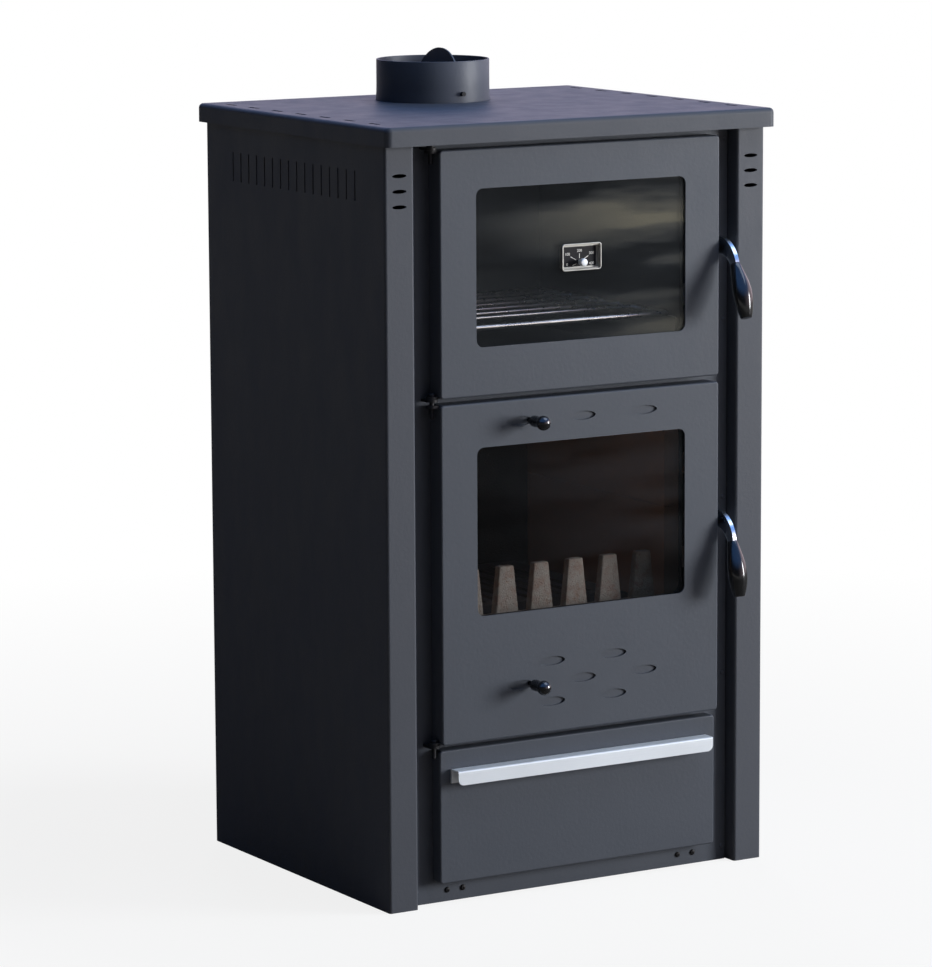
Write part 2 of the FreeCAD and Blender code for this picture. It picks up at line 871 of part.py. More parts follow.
def oven_rack():
    """Wire shelf: a round-bar frame with cross rods welded on it."""
    level = rack_level()
    side = rack_side()
    front = frame_back + rack_front_room
    places = [front] + [front + rack_first_gap + index * rack_pitch for index in range(rack_rod_count - 1)]
    back = places[-1]
    pieces = []
    for x in (-side, side):
        pieces.append(rod(Vector(x, front, level), Vector(x, back, level), rack_frame_radius))
    for y in (front, back):
        pieces.append(rod(Vector(-side, y, level), Vector(side, y, level), rack_frame_radius))
        for x in (-side, side):
            pieces.append(Part.makeSphere(rack_frame_radius, Vector(x, y, level)))
    for y in places[1:-1]:
        lift = rack_rod_radius
        start = Vector(-side, y, level + lift)
        end = Vector(side, y, level + lift)
        pieces.append(rod(start, end, rack_rod_radius))
    return fused(pieces)


def ash_floor():
    """Floor of the ash chamber, level with the lower edge of the fire opening."""
    x_half = jacket_inner
    return block((-x_half, x_half), (frame_back, jacket_back - jacket_sheet),
                 (fire_opening_bottom - ash_floor_sheet, fire_opening_bottom)).cut(jacket_corner_room())


def jacket_corner_room():
    """Solid that fills the jacket's folded back corners, to be cut from plates that fit inside it."""
    depth = jacket_back - jacket_sheet
    bend = jacket_bend - jacket_sheet + seat_gap
    height = (0, top_level)
    outer = block((-jacket_inner, jacket_inner), (frame_back, depth), height)
    uprights = []
    for edge in outer.Edges:
        box = edge.BoundBox
        if box.YMin > depth - 1 and box.ZLength > 1:
            uprights.append(edge)
    return outer.cut(outer.makeFillet(bend, uprights))


def grate_shelf():
    """Plate that carries the bricks, the grate and the log guard, with the ash hole."""
    y_span = (frame_back, jacket_back - jacket_sheet)
    plate = block((-jacket_inner, jacket_inner), y_span, (shelf_bottom, shelf_top))
    mid = (frame_back + jacket_back) / 2
    hole = block((-grate_opening_half, grate_opening_half),
                 (mid - grate_opening_depth / 2, mid + grate_opening_depth / 2),
                 (shelf_bottom - cut_over, shelf_top + cut_over))
    return plate.cut([hole, jacket_corner_room()])


def fire_grate():
    """Cast grate that lies over the ash hole, with long slots between its bars."""
    mid = (frame_back + jacket_back) / 2
    x_half = grate_opening_half + grate_lap
    y_half = grate_opening_depth / 2 + grate_lap
    slab = block((-x_half, x_half), (mid - y_half, mid + y_half), (shelf_top, shelf_top + grate_thickness))
    slots = []
    for offset in spaced(grate_slot_count, grate_slot_pitch):
        straight = y_half - grate_edge - grate_slot_width / 2
        slots.append(block((offset - grate_slot_width / 2, offset + grate_slot_width / 2),
                           (mid - straight, mid + straight),
                           (shelf_top - cut_over, shelf_top + grate_thickness + cut_over)))
        for end in (mid - straight, mid + straight):
            foot = Vector(offset, end, shelf_top - cut_over)
            slots.append(Part.makeCylinder(grate_slot_width / 2, grate_thickness + 2 * cut_over, foot))
    return slab.cut(slots)


def log_guard():
    """Cast comb that keeps logs off the fire door: a bar with tapered teeth."""
    front = front_y + guard_set_back
    depth = Vector(0, guard_thickness, 0)
    bar_top = shelf_top + guard_bar
    y_span = (front, front + guard_thickness)
    pieces = [block((-guard_half_width, guard_half_width), y_span, (shelf_top, bar_top))]
    for x in spaced(guard_tooth_count, guard_tooth_pitch):
        outline = [
            Vector(x - guard_tooth_base / 2, front, bar_top),
            Vector(x + guard_tooth_base / 2, front, bar_top),
            Vector(x + guard_tooth_top / 2, front, bar_top + guard_tooth_height),
            Vector(x - guard_tooth_top / 2, front, bar_top + guard_tooth_height),
        ]
        pieces.append(Part.Face(Part.makePolygon(outline + outline[:1])).extrude(depth))
    return fused(pieces)


def brick_front():
    """Front face of the side bricks."""
    return frame_back + brick_front_room


def right_firebricks():
    """Two fireclay slabs, one on the other, along the right wall of the firebox."""
    back = jacket_back - jacket_sheet - brick_thickness - brick_joint
    x_span = (brick_inner, jacket_inner)
    middle = shelf_top + brick_height / 2
    lower = block(x_span, (brick_front(), back), (shelf_top, middle - brick_joint / 2))
    upper = block(x_span, (brick_front(), back), (middle + brick_joint / 2, shelf_top + brick_height))
    return grouped([lower, upper])


def rear_firebricks():
    """Two fireclay slabs side by side along the back of the firebox."""
    y_span = (jacket_back - jacket_sheet - brick_thickness, jacket_back - jacket_sheet)
    edge = jacket_inner - jacket_bend
    z_span = (shelf_top, shelf_top + brick_height)
    return grouped(both_sides([block((brick_joint / 2, edge), y_span, z_span)]))


def ash_pan():
    """Loose tray under the grate, with a bar handle on its front."""
    front = frame_back + pan_front_room
    bottom = fire_opening_bottom
    tray = open_box(pan_half_width, (front, front + pan_depth), (bottom, bottom + pan_height), pan_sheet)
    level = bottom + pan_height - pan_handle_drop
    bar_y = front - pan_handle_reach
    pieces = [tray]
    for x in (-pan_handle_half, pan_handle_half):
        root = Vector(x, front + pan_sheet / 2, level)
        pieces.append(rod(root, Vector(x, bar_y, level), pan_handle_radius))
        pieces.append(Part.makeSphere(pan_handle_radius, Vector(x, bar_y, level)))
    pieces.append(rod(Vector(-pan_handle_half, bar_y, level), Vector(pan_handle_half, bar_y, level),
                      pan_handle_radius))
    return fused(pieces)


def door_tray(bottom, height, face, back, sheet):
    """Pressed door skin: a face with its four sides folded back, open behind."""
    tray = block((-door_half, door_half), (face, back), (bottom, bottom + height))
    corners = [edge for edge in tray.Edges if abs(edge.Vertexes[0].Y - edge.Vertexes[1].Y) > 0]
    tray = tray.makeFillet(door_corner_radius, corners)
    tray = tray.makeFillet(door_edge_radius, edges_on_plane(tray, "Y", face))
    inner = rounded_slab(0, bottom + height / 2, door_width - 2 * sheet, height - 2 * sheet,
                         door_corner_radius - sheet / 2, (face + sheet, back + cut_over))
    return tray.cut(inner)


def window_hole(bottom, height, room, y_span):
    """Round-cornered window cutter."""
    return rounded_slab(0, bottom + height / 2, window_width + 2 * room, height + 2 * room,
                        window_radius + room, y_span)


def pivot_hole(level):
    """Hole in a door's right side for the lever pivot."""
    start = Vector(door_half - 2 * door_sheet, handle_y, level)
    return rod(start, Vector(door_half + door_sheet, handle_y, level), pivot_radius + running_gap)


def oven_door_panel():
    """Outer skin of the oven door."""
    panel = door_tray(oven_door_bottom, oven_door_height, door_face, door_back, door_sheet)
    through = (door_face - cut_over, door_sheet_back + cut_over)
    window = window_hole(oven_window_bottom, oven_window_height, 0.0, through)
    return panel.cut([window, pivot_hole(handle_oven_z)])


def oval_places(rows):
    """Centres of the air ovals for a list of rows, each a level and whether it holds three."""
    places = []
    for level, full in rows:
        count = 3 if full else 2
        for x in spaced(count, oval_pitch):
            places.append((x, level))
    return places


def lower_oval_rows():
    """Rows of the lower air ovals."""
    return [
        (lower_air_z + lower_row_pitch, False),
        (lower_air_z, True),
        (lower_air_z - lower_row_pitch, False),
    ]


def upper_oval_rows():
    """Row of the upper air ovals."""
    return [(upper_air_z, True)]


def fire_door_panel():
    """Outer skin of the fire door with its air ovals."""
    panel = door_tray(fire_door_bottom, fire_door_height, door_face, door_back, door_sheet)
    through = (door_face - cut_over, door_sheet_back + cut_over)
    cutters = [window_hole(fire_window_bottom, fire_window_height, 0.0, through), pivot_hole(handle_fire_z)]
    for x, level in oval_places(lower_oval_rows() + upper_oval_rows()):
        cutters.append(oval_slab(x, level, oval_length, oval_width, through))
    return panel.cut(cutters)


def door_liner(bottom, height, sill, window_height):
    """Inner pan of a door: its rim meets the skin and its back carries the rope seal."""
    x_half = door_half - liner_side_margin
    low = bottom + liner_end_margin
    high = bottom + height - liner_end_margin
    pan = block((-x_half, x_half), (door_sheet_back, liner_back), (low, high))
    hollow = block((-x_half + liner_sheet, x_half - liner_sheet),
                   (door_sheet_back - cut_over, liner_back - liner_sheet),
                   (low + liner_sheet, high - liner_sheet))
    through = (door_sheet_back, liner_back + cut_over)
    return pan.cut([hollow, window_hole(sill, window_height, liner_window_room, through)])


def oven_door_liner():
    """Inner pan of the oven door."""
    return door_liner(oven_door_bottom, oven_door_height, oven_window_bottom, oven_window_height)


def fire_door_liner():
    """Inner pan of the fire door."""
    return door_liner(fire_door_bottom, fire_door_height, fire_window_bottom, fire_window_height)


def door_glass(sill, window_height):
    """Heat-proof pane behind a door's window."""
    return rounded_slab(0, sill + window_height / 2,
                        window_width + 2 * glass_lap, window_height + 2 * glass_lap,
                        window_radius, (glass_front, glass_back))


def thermometer_level():
    """Height of the middle of the oven thermometer."""
    return oven_window_bottom + oven_window_height - dial_head_room


def thermometer_slab(inset, y_span):
    """Round-cornered block of the thermometer's outline, drawn in by the inset."""
    return rounded_slab(0, thermometer_level(), dial_width - 2 * inset, dial_height - 2 * inset,
                        dial_corner - inset / 2, y_span)


def oven_door_glass():
    """Pane of the oven door with the thermometer's hole."""
    pane = door_glass(oven_window_bottom, oven_window_height)
    return pane.cut(thermometer_slab(dial_rim - hole_gap, (glass_front - cut_over, glass_back + cut_over)))


def fire_door_glass():
    """Pane of the fire door."""
    return door_glass(fire_window_bottom, fire_window_height)


def thermometer_case():
    """Bright case that sits in the oven glass, its rim in front of the pane."""
    front = door_face + dial_front_set_back
    back = front + dial_depth
    rim = thermometer_slab(0.0, (front, glass_front))
    body = thermometer_slab(dial_rim, (front, back))
    hollow = thermometer_slab(dial_rim + dial_wall, (front - cut_over, dial_face() + dial_plate))
    pin = rod(pointer_hub_place(front), pointer_hub_place(back + cut_over), pointer_pin_radius + running_gap)
    return fused([rim, body]).cut([hollow, pin])


def pointer_hub_place(y):
    """Point on the pointer's axis."""
    return Vector(0, y, thermometer_level() - pointer_drop)


def dial_face():
    """Front of the dial plate."""
    return door_face + dial_front_set_back + dial_recess


def thermometer_dial():
    """Scale plate inside the thermometer case."""
    face = dial_face()
    plate = thermometer_slab(dial_rim + dial_wall + seat_gap, (face, face + dial_plate))
    start, end = pointer_hub_place(face - cut_over), pointer_hub_place(face + 2 * cut_over)
    return plate.cut(rod(start, end, pointer_pin_radius + running_gap))


def thermometer_pointer():
    """Needle, hub and arbor of the thermometer."""
    plate_back = dial_face() - slide_gap
    plate_front = plate_back - pointer_sheet
    hub_front = door_face + dial_front_set_back - pointer_cap_proud
    hub = rod(pointer_hub_place(hub_front), pointer_hub_place(plate_back), pointer_hub_radius)
    cap = rod(pointer_hub_place(hub_front), pointer_hub_place(hub_front + pointer_cap), pointer_cap_radius)
    cap = cap.makeFillet(pointer_cap / 3, edges_on_plane(cap, "Y", hub_front))
    case_back = door_face + dial_front_set_back + dial_depth
    arbor = rod(pointer_hub_place(hub_front), pointer_hub_place(case_back), pointer_pin_radius)
    middle = pointer_hub_place(plate_front)
    outline = [
        middle.add(Vector(-pointer_width / 2, 0, 0)),
        middle.add(Vector(pointer_width / 2, 0, 0)),
        middle.add(Vector(0, 0, pointer_length)),
    ]
    needle = Part.Face(Part.makePolygon(outline + outline[:1])).extrude(Vector(0, pointer_sheet, 0))
    pointer = fused([hub, cap, arbor, needle])
    pointer.rotate(middle, Vector(0, 1, 0), pointer_rest)
    return pointer


def clip_levels(sill, window_height):
    """Heights of the glass clips beside a window."""
    return [sill + clip_inset, sill + window_height - clip_inset]


def clip_screw_x():
    """Distance of the clip screws from the middle plane."""
    return clip_riser() + clip_foot / 2 + clip_sheet / 2


def clip_riser():
    """Inner face of the clips' risers, clear of the glass edge."""
    return window_width / 2 + glass_lap + clip_room


def glass_clips(sill, window_height):
    """Stepped clips that press a pane against the door skin."""
    arm_y = glass_back
    clips = []
    for level in clip_levels(sill, window_height):
        low = level - clip_length / 2
        outline = [
            Vector(clip_riser() + clip_foot, door_sheet_back, low),
            Vector(clip_riser(), door_sheet_back, low),
            Vector(clip_riser(), arm_y, low),
            Vector(clip_riser() - clip_arm, arm_y, low),
        ]
        clip = bent_sheet(outline, clip_sheet, clip_bend, Vector(0, 0, 1), clip_length)
        start = Vector(clip_screw_x(), door_sheet_back - cut_over, level)
        end = Vector(clip_screw_x(), door_sheet_back + 2 * clip_sheet, level)
        clips.append(clip.cut(rod(start, end, clip_screw_radius + hole_gap)))
    return grouped(both_sides(clips))


def glass_screws(sill, window_height):
    """Screws that hold the glass clips."""
    face = door_sheet_back + clip_sheet
    screws = []
    for level in clip_levels(sill, window_height):
        screws.append(round_screw(clip_screw_x(), level, face, 1, clip_screw_head_radius, clip_screw_head,
                                  clip_screw_radius, clip_sheet))
    return grouped(both_sides(screws))


def rope_seal(low, high):
    """Rope gasket: a closed round-cornered ring on the back of a door liner."""
    y = liner_back + seal_radius
    x_half = opening_half_width + seal_offset
    z_low = low - seal_offset
    z_high = high + seal_offset
    run = x_half - seal_corner
    pieces = []
    for z in (z_low, z_high):
        pieces.append(rod(Vector(-run, y, z), Vector(run, y, z), seal_radius))
    for x in (-x_half, x_half):
        pieces.append(rod(Vector(x, y, z_low + seal_corner), Vector(x, y, z_high - seal_corner), seal_radius))
    for x_sign in (-1, 1):
        for z_sign, z in ((-1, z_low + seal_corner), (1, z_high - seal_corner)):
            centre = Vector(x_sign * run, y, z)
            start = centre.add(Vector(x_sign * seal_corner, 0, 0))
            circle = Part.makeCircle(seal_radius, start, Vector(0, 0, 1))
            section = Part.Face(Part.Wire(circle))
            turn = -90.0 * x_sign * z_sign
            pieces.append(section.revolve(centre, Vector(0, 1, 0), turn))
    return fused(pieces)


def hinge_eye(low, toward, pin_gap):
    """Flat eye round the hinge axis with a straight root towards the frame or the door."""
    axis_foot = Vector(hinge_x, hinge_y, low)
    disc = Part.makeCylinder(hinge_eye_radius, hinge_plate, axis_foot)
    if toward == "frame":
        root = block((hinge_x - hinge_eye_radius, hinge_x + hinge_eye_radius), (hinge_y, frame_front),
                     (low, low + hinge_plate))
    else:
        root = block((hinge_x, -door_half), (hinge_y - hinge_eye_radius, hinge_y + hinge_eye_radius),
                     (low, low + hinge_plate))
    foot = axis_foot.sub(Vector(0, 0, cut_over))
    hole = Part.makeCylinder(hinge_pin_radius + pin_gap, hinge_plate + 2 * cut_over, foot)
    eye = fused([disc, root]).cut(hole)
    if toward == "door":
        z_span = (low - cut_over, low + hinge_plate + cut_over)
        eye = eye.cut(block((-door_half, 0), (front_y, back_y), z_span))
    return eye


def hinge_bracket_levels():
    """Undersides of the three frame brackets: below the fire door, between the doors, above the oven door."""
    return [
        fire_door_bottom - slide_gap - hinge_plate,
        oven_door_bottom - slide_gap - hinge_plate,
        oven_door_top + slide_gap,
    ]


def hinge_brackets():
    """Flat eyes on the front frame that hold the hinge pins."""
    return grouped([hinge_eye(level, "frame", 0.0) for level in hinge_bracket_levels()])


def door_lugs(bottom, top):
    """Flat eyes at the lower and upper corner of a door."""
    return grouped([hinge_eye(level, "door", running_gap) for level in (bottom, top - hinge_plate)])


def hinge_pin(head_seat, tail_end):
    """Headed pin that drops through the eyes."""
    shaft = rod(Vector(hinge_x, hinge_y, tail_end), Vector(hinge_x, hinge_y, head_seat), hinge_pin_radius)
    shaft = shaft.makeChamfer(hinge_pin_radius / 3, edges_on_plane(shaft, "Z", tail_end))
    head = Part.makeCylinder(hinge_head_radius, hinge_head, Vector(hinge_x, hinge_y, head_seat))
    head = head.makeFillet(hinge_head / 2.5, edges_on_plane(head, "Z", head_seat + hinge_head))
    return fused([shaft, head])


def hinge_pins():
    """Three pins: under the fire door, shared between the doors, and above the oven door."""
    top_bracket = hinge_bracket_levels()[2]
    low = hinge_pin(fire_door_bottom + hinge_plate + slide_gap, hinge_bracket_levels()[0] - hinge_tail)
    middle = hinge_pin(oven_door_bottom + hinge_plate + slide_gap, fire_door_top - hinge_plate - hinge_tail)
    high = hinge_pin(top_bracket + hinge_plate, oven_door_top - hinge_plate - hinge_tail)
    return grouped([low, middle, high])


def handle_pivot(level):
    """Shouldered bolt through a door's right side that carries the lever."""
    lever_right = lever_left + lever_thickness
    nut_right = door_half - door_sheet
    parts = [
        (nut_right - pivot_nut_length, nut_right, pivot_nut_radius),
        (nut_right - pivot_nut_length, lever_right + slide_gap + pivot_head_length, pivot_radius),
        (door_half, lever_left - slide_gap, pivot_collar_radius),
        (lever_right + slide_gap, lever_right + slide_gap + pivot_head_length, pivot_collar_radius),
    ]
    pieces = [rod(Vector(low, handle_y, level), Vector(high, handle_y, level), radius)
              for low, high, radius in parts]
    return fused(pieces)


def turned_in(shape, level, turn):
    """Turns a handle piece about its pivot so that the grip comes nearer the door."""
    copy = shape.copy()
    copy.rotate(Vector(lever_left, handle_y, level), Vector(1, 0, 0), turn)
    return copy


def grip_axis():
    """Direction of the grip from the lever's end downwards and outwards."""
    angle = math.radians(grip_slope)
    return Vector(0, -math.sin(angle), -math.cos(angle))


def grip_across():
    """Direction across the grip, square to its axis, towards the stove."""
    angle = math.radians(grip_slope)
    return Vector(0, math.cos(angle), -math.sin(angle))


def lever_end(level):
    """Outer corner of the lever's end face."""
    return Vector(lever_left, handle_y - lever_reach, level - lever_drop)


def handle_lever(level):
    """Sickle-shaped steel lever with its pivot eye and the latch tongue behind it."""
    pivot = Vector(lever_left, handle_y, level)
    top_root = pivot.add(Vector(0, 0, lever_root_half))
    low_root = pivot.add(Vector(0, 0, -lever_root_half))
    outer_knee = pivot.add(Vector(0, -lever_knee_reach, lever_knee_rise))
    outer_end = lever_end(level)
    inner_end = outer_end.add(grip_across().multiply(lever_neck))
    inner_knee = pivot.add(Vector(0, -lever_inner_reach, -lever_inner_drop))
    edges = [
        Part.Arc(top_root, outer_knee, outer_end).toShape(),
        Part.LineSegment(outer_end, inner_end).toShape(),
        Part.Arc(inner_end, inner_knee, low_root).toShape(),
        Part.LineSegment(low_root, top_root).toShape(),
    ]
    thick = Vector(lever_thickness, 0, 0)
    arm = Part.Face(Part.Wire(edges)).extrude(thick)
    eye = Part.makeCylinder(lever_root_half, lever_thickness, pivot, Vector(1, 0, 0))
    tongue_end = handle_y + tongue_reach
    outline = [
        Vector(lever_left, handle_y, level - tongue_half),
        Vector(lever_left, tongue_end, level - tongue_half),
        Vector(lever_left, tongue_end, level + tongue_half - tongue_ramp),
        Vector(lever_left, handle_y, level + tongue_half),
    ]
    tongue = Part.Face(Part.makePolygon(outline + outline[:1])).extrude(thick)
    lever = fused([arm, eye, tongue])
    rims = []
    for edge in lever.Edges:
        box = edge.BoundBox
        on_side = box.XLength < 1e-4
        if on_side and box.YMax < handle_y - lever_edge and box.ZLength > lever_neck / 2:
            rims.append(edge)
    lever = lever.makeFillet(lever_edge, rims)
    start = pivot.sub(Vector(1, 0, 0))
    hole = rod(start, pivot.add(Vector(lever_thickness + cut_over, 0, 0)), pivot_radius + running_gap)
    return lever.cut(hole)


def grip_section(centre, width, thickness):
    """Elliptic section of the grip, square to its axis: a closed curve through evenly spaced points."""
    points = []
    for index in range(grip_section_points):
        angle = 2 * math.pi * index / grip_section_points
        across = grip_across().multiply(math.cos(angle) * width / 2)
        sideways = Vector(math.sin(angle) * thickness / 2, 0, 0)
        points.append(centre.add(across).add(sideways))
    curve = Part.BSplineCurve()
    curve.interpolate(points, True)
    return Part.Wire(curve.toShape())


def handle_grip(level):
    """Leaf-shaped moulded grip on the lever's end."""
    to_middle = Vector(lever_thickness / 2, 0, 0).add(grip_across().multiply(lever_neck / 2))
    start = lever_end(level).add(to_middle)
    stations = [
        (0.0, lever_neck, grip_neck_thickness),
        (grip_shoulder_at, grip_shoulder_width, grip_shoulder_thickness),
        (grip_belly_at, grip_belly_width, grip_belly_thickness),
        (grip_taper_at, grip_taper_width, grip_taper_thickness),
        (grip_length, grip_tip_width, grip_tip_thickness),
    ]
    sections = []
    for distance, width, thickness in stations:
        bow = math.sin(math.pi * distance / grip_length)
        along = grip_axis().multiply(distance)
        sideways = grip_across().multiply(-bow * grip_bow)
        sections.append(grip_section(start.add(along).add(sideways), width, thickness))
    return Part.makeLoft(sections, True, False)


def slide_plate(rows, level):
    """Flat slide behind the door skin with ports that move under the ovals."""
    places = oval_places(rows)
    low = min(place[1] for place in places) - oval_width / 2 - slide_lap
    high = max(place[1] for place in places) + oval_width / 2 + slide_lap
    reach = oval_pitch + oval_length / 2
    x_span = (-reach - slide_lap, reach + slide_lap + slide_travel)
    plate = block(x_span, (slide_front, slide_back), (low, high))
    ports = []
    for x, port_z in places:
        if x > -oval_pitch or port_z != level:
            ports.append(oval_slab(x + slide_travel, port_z, slide_port_length, oval_width,
                                   (slide_front - cut_over, slide_back + cut_over)))
    return plate.cut(ports)


def knob_x():
    """Rest place of the air knobs: the right end of the left oval."""
    return -oval_pitch + slide_travel / 2


def air_knob(level):
    """Turned knob on its stem: neck, waist and ball."""
    ball_y = door_face - knob_reach
    neck_y = door_face - knob_neck_start
    x = knob_x()
    waist_y = ball_y + math.sqrt(knob_radius ** 2 - knob_waist_radius ** 2)
    stem = rod(Vector(x, slide_front, level), Vector(x, ball_y, level), knob_stem_radius)
    neck_length = neck_y - waist_y
    root = Vector(x, neck_y, level)
    neck = Part.makeCone(knob_neck_radius, knob_waist_radius, neck_length, root, Vector(0, -1, 0))
    ball = Part.makeSphere(knob_radius, Vector(x, ball_y, level))
    return fused([stem, neck, ball])


def guide_pair(low, high):
    """Stepped strips above and below a slide that keep it against the door skin."""
    arm_y = slide_back + slide_gap
    left = -oval_pitch - oval_length / 2 - slide_end_room
    length = -2 * left
    strips = []
    for edge_z, way in ((high + slide_gap, 1), (low - slide_gap, -1)):
        outline = [
            Vector(left, door_sheet_back, edge_z + way * guide_foot),
            Vector(left, door_sheet_back, edge_z),
            Vector(left, arm_y, edge_z),
            Vector(left, arm_y, edge_z - way * guide_arm),
        ]
        normal = Vector(-way, 0, 0)
        strips.append(bent_sheet(outline, guide_sheet, guide_bend, normal, -way * length))
    return strips


def air_slide_guides():
    """Guide strips of both air slides."""
    strips = []
    for rows in (lower_oval_rows(), upper_oval_rows()):
        levels = [row[0] for row in rows]
        low = min(levels) - oval_width / 2 - slide_lap
        high = max(levels) + oval_width / 2 + slide_lap
        strips += guide_pair(low, high)
    return grouped(strips)


def drawer_front():
    """Front skin of the drawer."""
    return door_tray(drawer_bottom, drawer_height, drawer_face, door_back, drawer_sheet)


def drawer_box():
    """Open tray of the drawer, fixed behind its front."""
    front = drawer_face + drawer_sheet
    y_span = (front, front + tray_depth)
    return open_box(tray_half_width, y_span, (tray_bottom, tray_bottom + tray_height), tray_sheet)


def drawer_handle():
    """Bright folded bar along the drawer's front, open below for the fingers."""
    top = drawer_top - grip_bar_drop
    low = top - grip_bar_height
    outer = drawer_face - grip_bar_depth
    outline = [
        Vector(-grip_bar_half, outer, low),
        Vector(-grip_bar_half, outer, top),
        Vector(-grip_bar_half, drawer_face, top),
        Vector(-grip_bar_half, drawer_face, low),
    ]
    bar = bent_sheet(outline, grip_bar_sheet, grip_bar_bend, Vector(1, 0, 0), 2 * grip_bar_half)
    corners = []
    for edge in bar.Edges:
        box = edge.BoundBox
        on_lip = box.YMax < outer + grip_bar_sheet + 0.1
        if on_lip and box.XLength < 1e-4 and box.ZMax < low + 1e-4 and box.YLength > 1e-4:
            corners.append(edge)
    return bar.makeFillet(grip_bar_corner, corners)


def drawer_rails():
    """Channel rails on the floor sheet under the drawer tray, with a tab behind the plinth."""
    x_low = rail_mid() - slide_rail_width / 2
    x_high = rail_mid() + slide_rail_width / 2
    front = frame_back + casing_sheet
    outline = [
        Vector(x_low, front, casing_sheet),
        Vector(x_low, front, rail_top),
        Vector(x_high, front, rail_top),
        Vector(x_high, front, casing_sheet),
    ]
    length = back_y - slide_rail_back_room - front
    rail = bent_sheet(outline, slide_rail_sheet, slide_rail_bend, Vector(0, -1, 0), -length)
    tab = block((x_low, x_high), (frame_back, frame_back + slide_rail_sheet), (casing_sheet, rail_tab_height))
    holes = []
    for place in rail_screw_places():
        start = Vector(place, frame_back - cut_over, rail_screw_level)
        end = Vector(place, frame_back + slide_rail_sheet + cut_over, rail_screw_level)
        holes.append(rod(start, end, rail_screw_shank + hole_gap))
    return grouped(both_sides([fused([rail, tab]).cut(holes)]))


def all_nodes():
    """Every sub-part by its node name."""
    return {
        "base_plate": base_plate(),
        "left_side_panel": side_panel(-1),
        "right_side_panel": side_panel(1),
        "back_panel": back_panel(),
        "back_screws": back_screws(),
        "front_frame": front_frame(),
        "frame_rivets": frame_rivets(),
        "plinth_screws": plinth_screws(),
        "top_plate": top_plate(),
        "inner_jacket": inner_jacket(),
        "jacket_top": jacket_top(),
        "flue_collar": flue_collar(),
        "damper_spindle": damper_spindle(),
        "damper_disc": damper_disc(),
        "oven_box": oven_box(),
        "oven_rack_runners": oven_rack_runners(),
        "oven_rack": oven_rack(),
        "ash_floor": ash_floor(),
        "grate_shelf": grate_shelf(),
        "fire_grate": fire_grate(),
        "log_guard": log_guard(),
        "left_firebricks": mirrored(right_firebricks()),
        "right_firebricks": right_firebricks(),
        "rear_firebricks": rear_firebricks(),
        "ash_pan": ash_pan(),
        "hinge_brackets": hinge_brackets(),
        "hinge_pins": hinge_pins(),
        "drawer_rails": drawer_rails(),
        "oven_door_panel": oven_door_panel(),
        "oven_door_liner": oven_door_liner(),
        "oven_door_glass": oven_door_glass(),
        "oven_glass_clips": glass_clips(oven_window_bottom, oven_window_height),
        "oven_glass_screws": glass_screws(oven_window_bottom, oven_window_height),
        "oven_door_seal": rope_seal(oven_opening_bottom, oven_opening_top),
        "oven_door_lugs": door_lugs(oven_door_bottom, oven_door_top),
        "oven_handle_pivot": handle_pivot(handle_oven_z),
        "oven_handle_lever": handle_lever(handle_oven_z),
        "oven_handle_grip": handle_grip(handle_oven_z),
        "thermometer_case": thermometer_case(),
        "thermometer_dial": thermometer_dial(),
        "thermometer_pointer": thermometer_pointer(),
        "fire_door_panel": fire_door_panel(),
        "fire_door_liner": fire_door_liner(),
        "fire_door_glass": fire_door_glass(),
        "fire_glass_clips": glass_clips(fire_window_bottom, fire_window_height),
        "fire_glass_screws": glass_screws(fire_window_bottom, fire_window_height),
        "fire_door_seal": rope_seal(fire_opening_bottom, fire_opening_top),
        "fire_door_lugs": door_lugs(fire_door_bottom, fire_door_top),
        "fire_handle_pivot": handle_pivot(handle_fire_z),
        "fire_handle_lever": turned_in(handle_lever(handle_fire_z), handle_fire_z, handle_fire_turn),
        "fire_handle_grip": turned_in(handle_grip(handle_fire_z), handle_fire_z, handle_fire_turn),
        "air_slide_guides": air_slide_guides(),
        "upper_air_slide": slide_plate(upper_oval_rows(), upper_air_z),
        "upper_air_knob": air_knob(upper_air_z),
        "lower_air_slide": slide_plate(lower_oval_rows(), lower_air_z),
        "lower_air_knob": air_knob(lower_air_z),
        "drawer_front": drawer_front(),
        "drawer_box": drawer_box(),
        "drawer_handle": drawer_handle(),
    }


os.makedirs("parts", exist_ok=True)
for node_name, node_shape in all_nodes().items():
    node_shape.exportStep("parts/" + node_name + ".step")
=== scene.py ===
"""Dresses the wood cookstove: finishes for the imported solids, fine pieces, studio and camera."""
import logging
import math
from contextlib import contextmanager
from dataclasses import dataclass
from enum import Enum
from typing import Callable, Dict, Iterator, List, Optional, Sequence, Tuple, Union

import bmesh
import bpy
from mathutils import Matrix, Vector


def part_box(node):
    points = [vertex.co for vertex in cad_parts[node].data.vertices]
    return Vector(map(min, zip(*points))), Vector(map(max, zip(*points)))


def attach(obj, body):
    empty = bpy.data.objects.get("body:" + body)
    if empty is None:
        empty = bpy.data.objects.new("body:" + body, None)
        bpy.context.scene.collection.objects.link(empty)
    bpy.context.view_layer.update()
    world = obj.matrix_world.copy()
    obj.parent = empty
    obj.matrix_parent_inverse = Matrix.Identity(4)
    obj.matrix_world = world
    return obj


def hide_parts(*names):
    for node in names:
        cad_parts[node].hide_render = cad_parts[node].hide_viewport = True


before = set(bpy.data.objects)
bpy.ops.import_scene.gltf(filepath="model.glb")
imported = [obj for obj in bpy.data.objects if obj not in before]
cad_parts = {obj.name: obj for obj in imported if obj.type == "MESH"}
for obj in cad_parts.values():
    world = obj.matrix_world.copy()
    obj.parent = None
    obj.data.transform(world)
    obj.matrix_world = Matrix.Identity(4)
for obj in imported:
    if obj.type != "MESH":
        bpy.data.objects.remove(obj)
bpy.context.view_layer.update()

LOG = logging.getLogger("cookstove")
MM = 0.001
# Least share along an axis at which a face or an edge counts as facing that way
FACING = 0.9
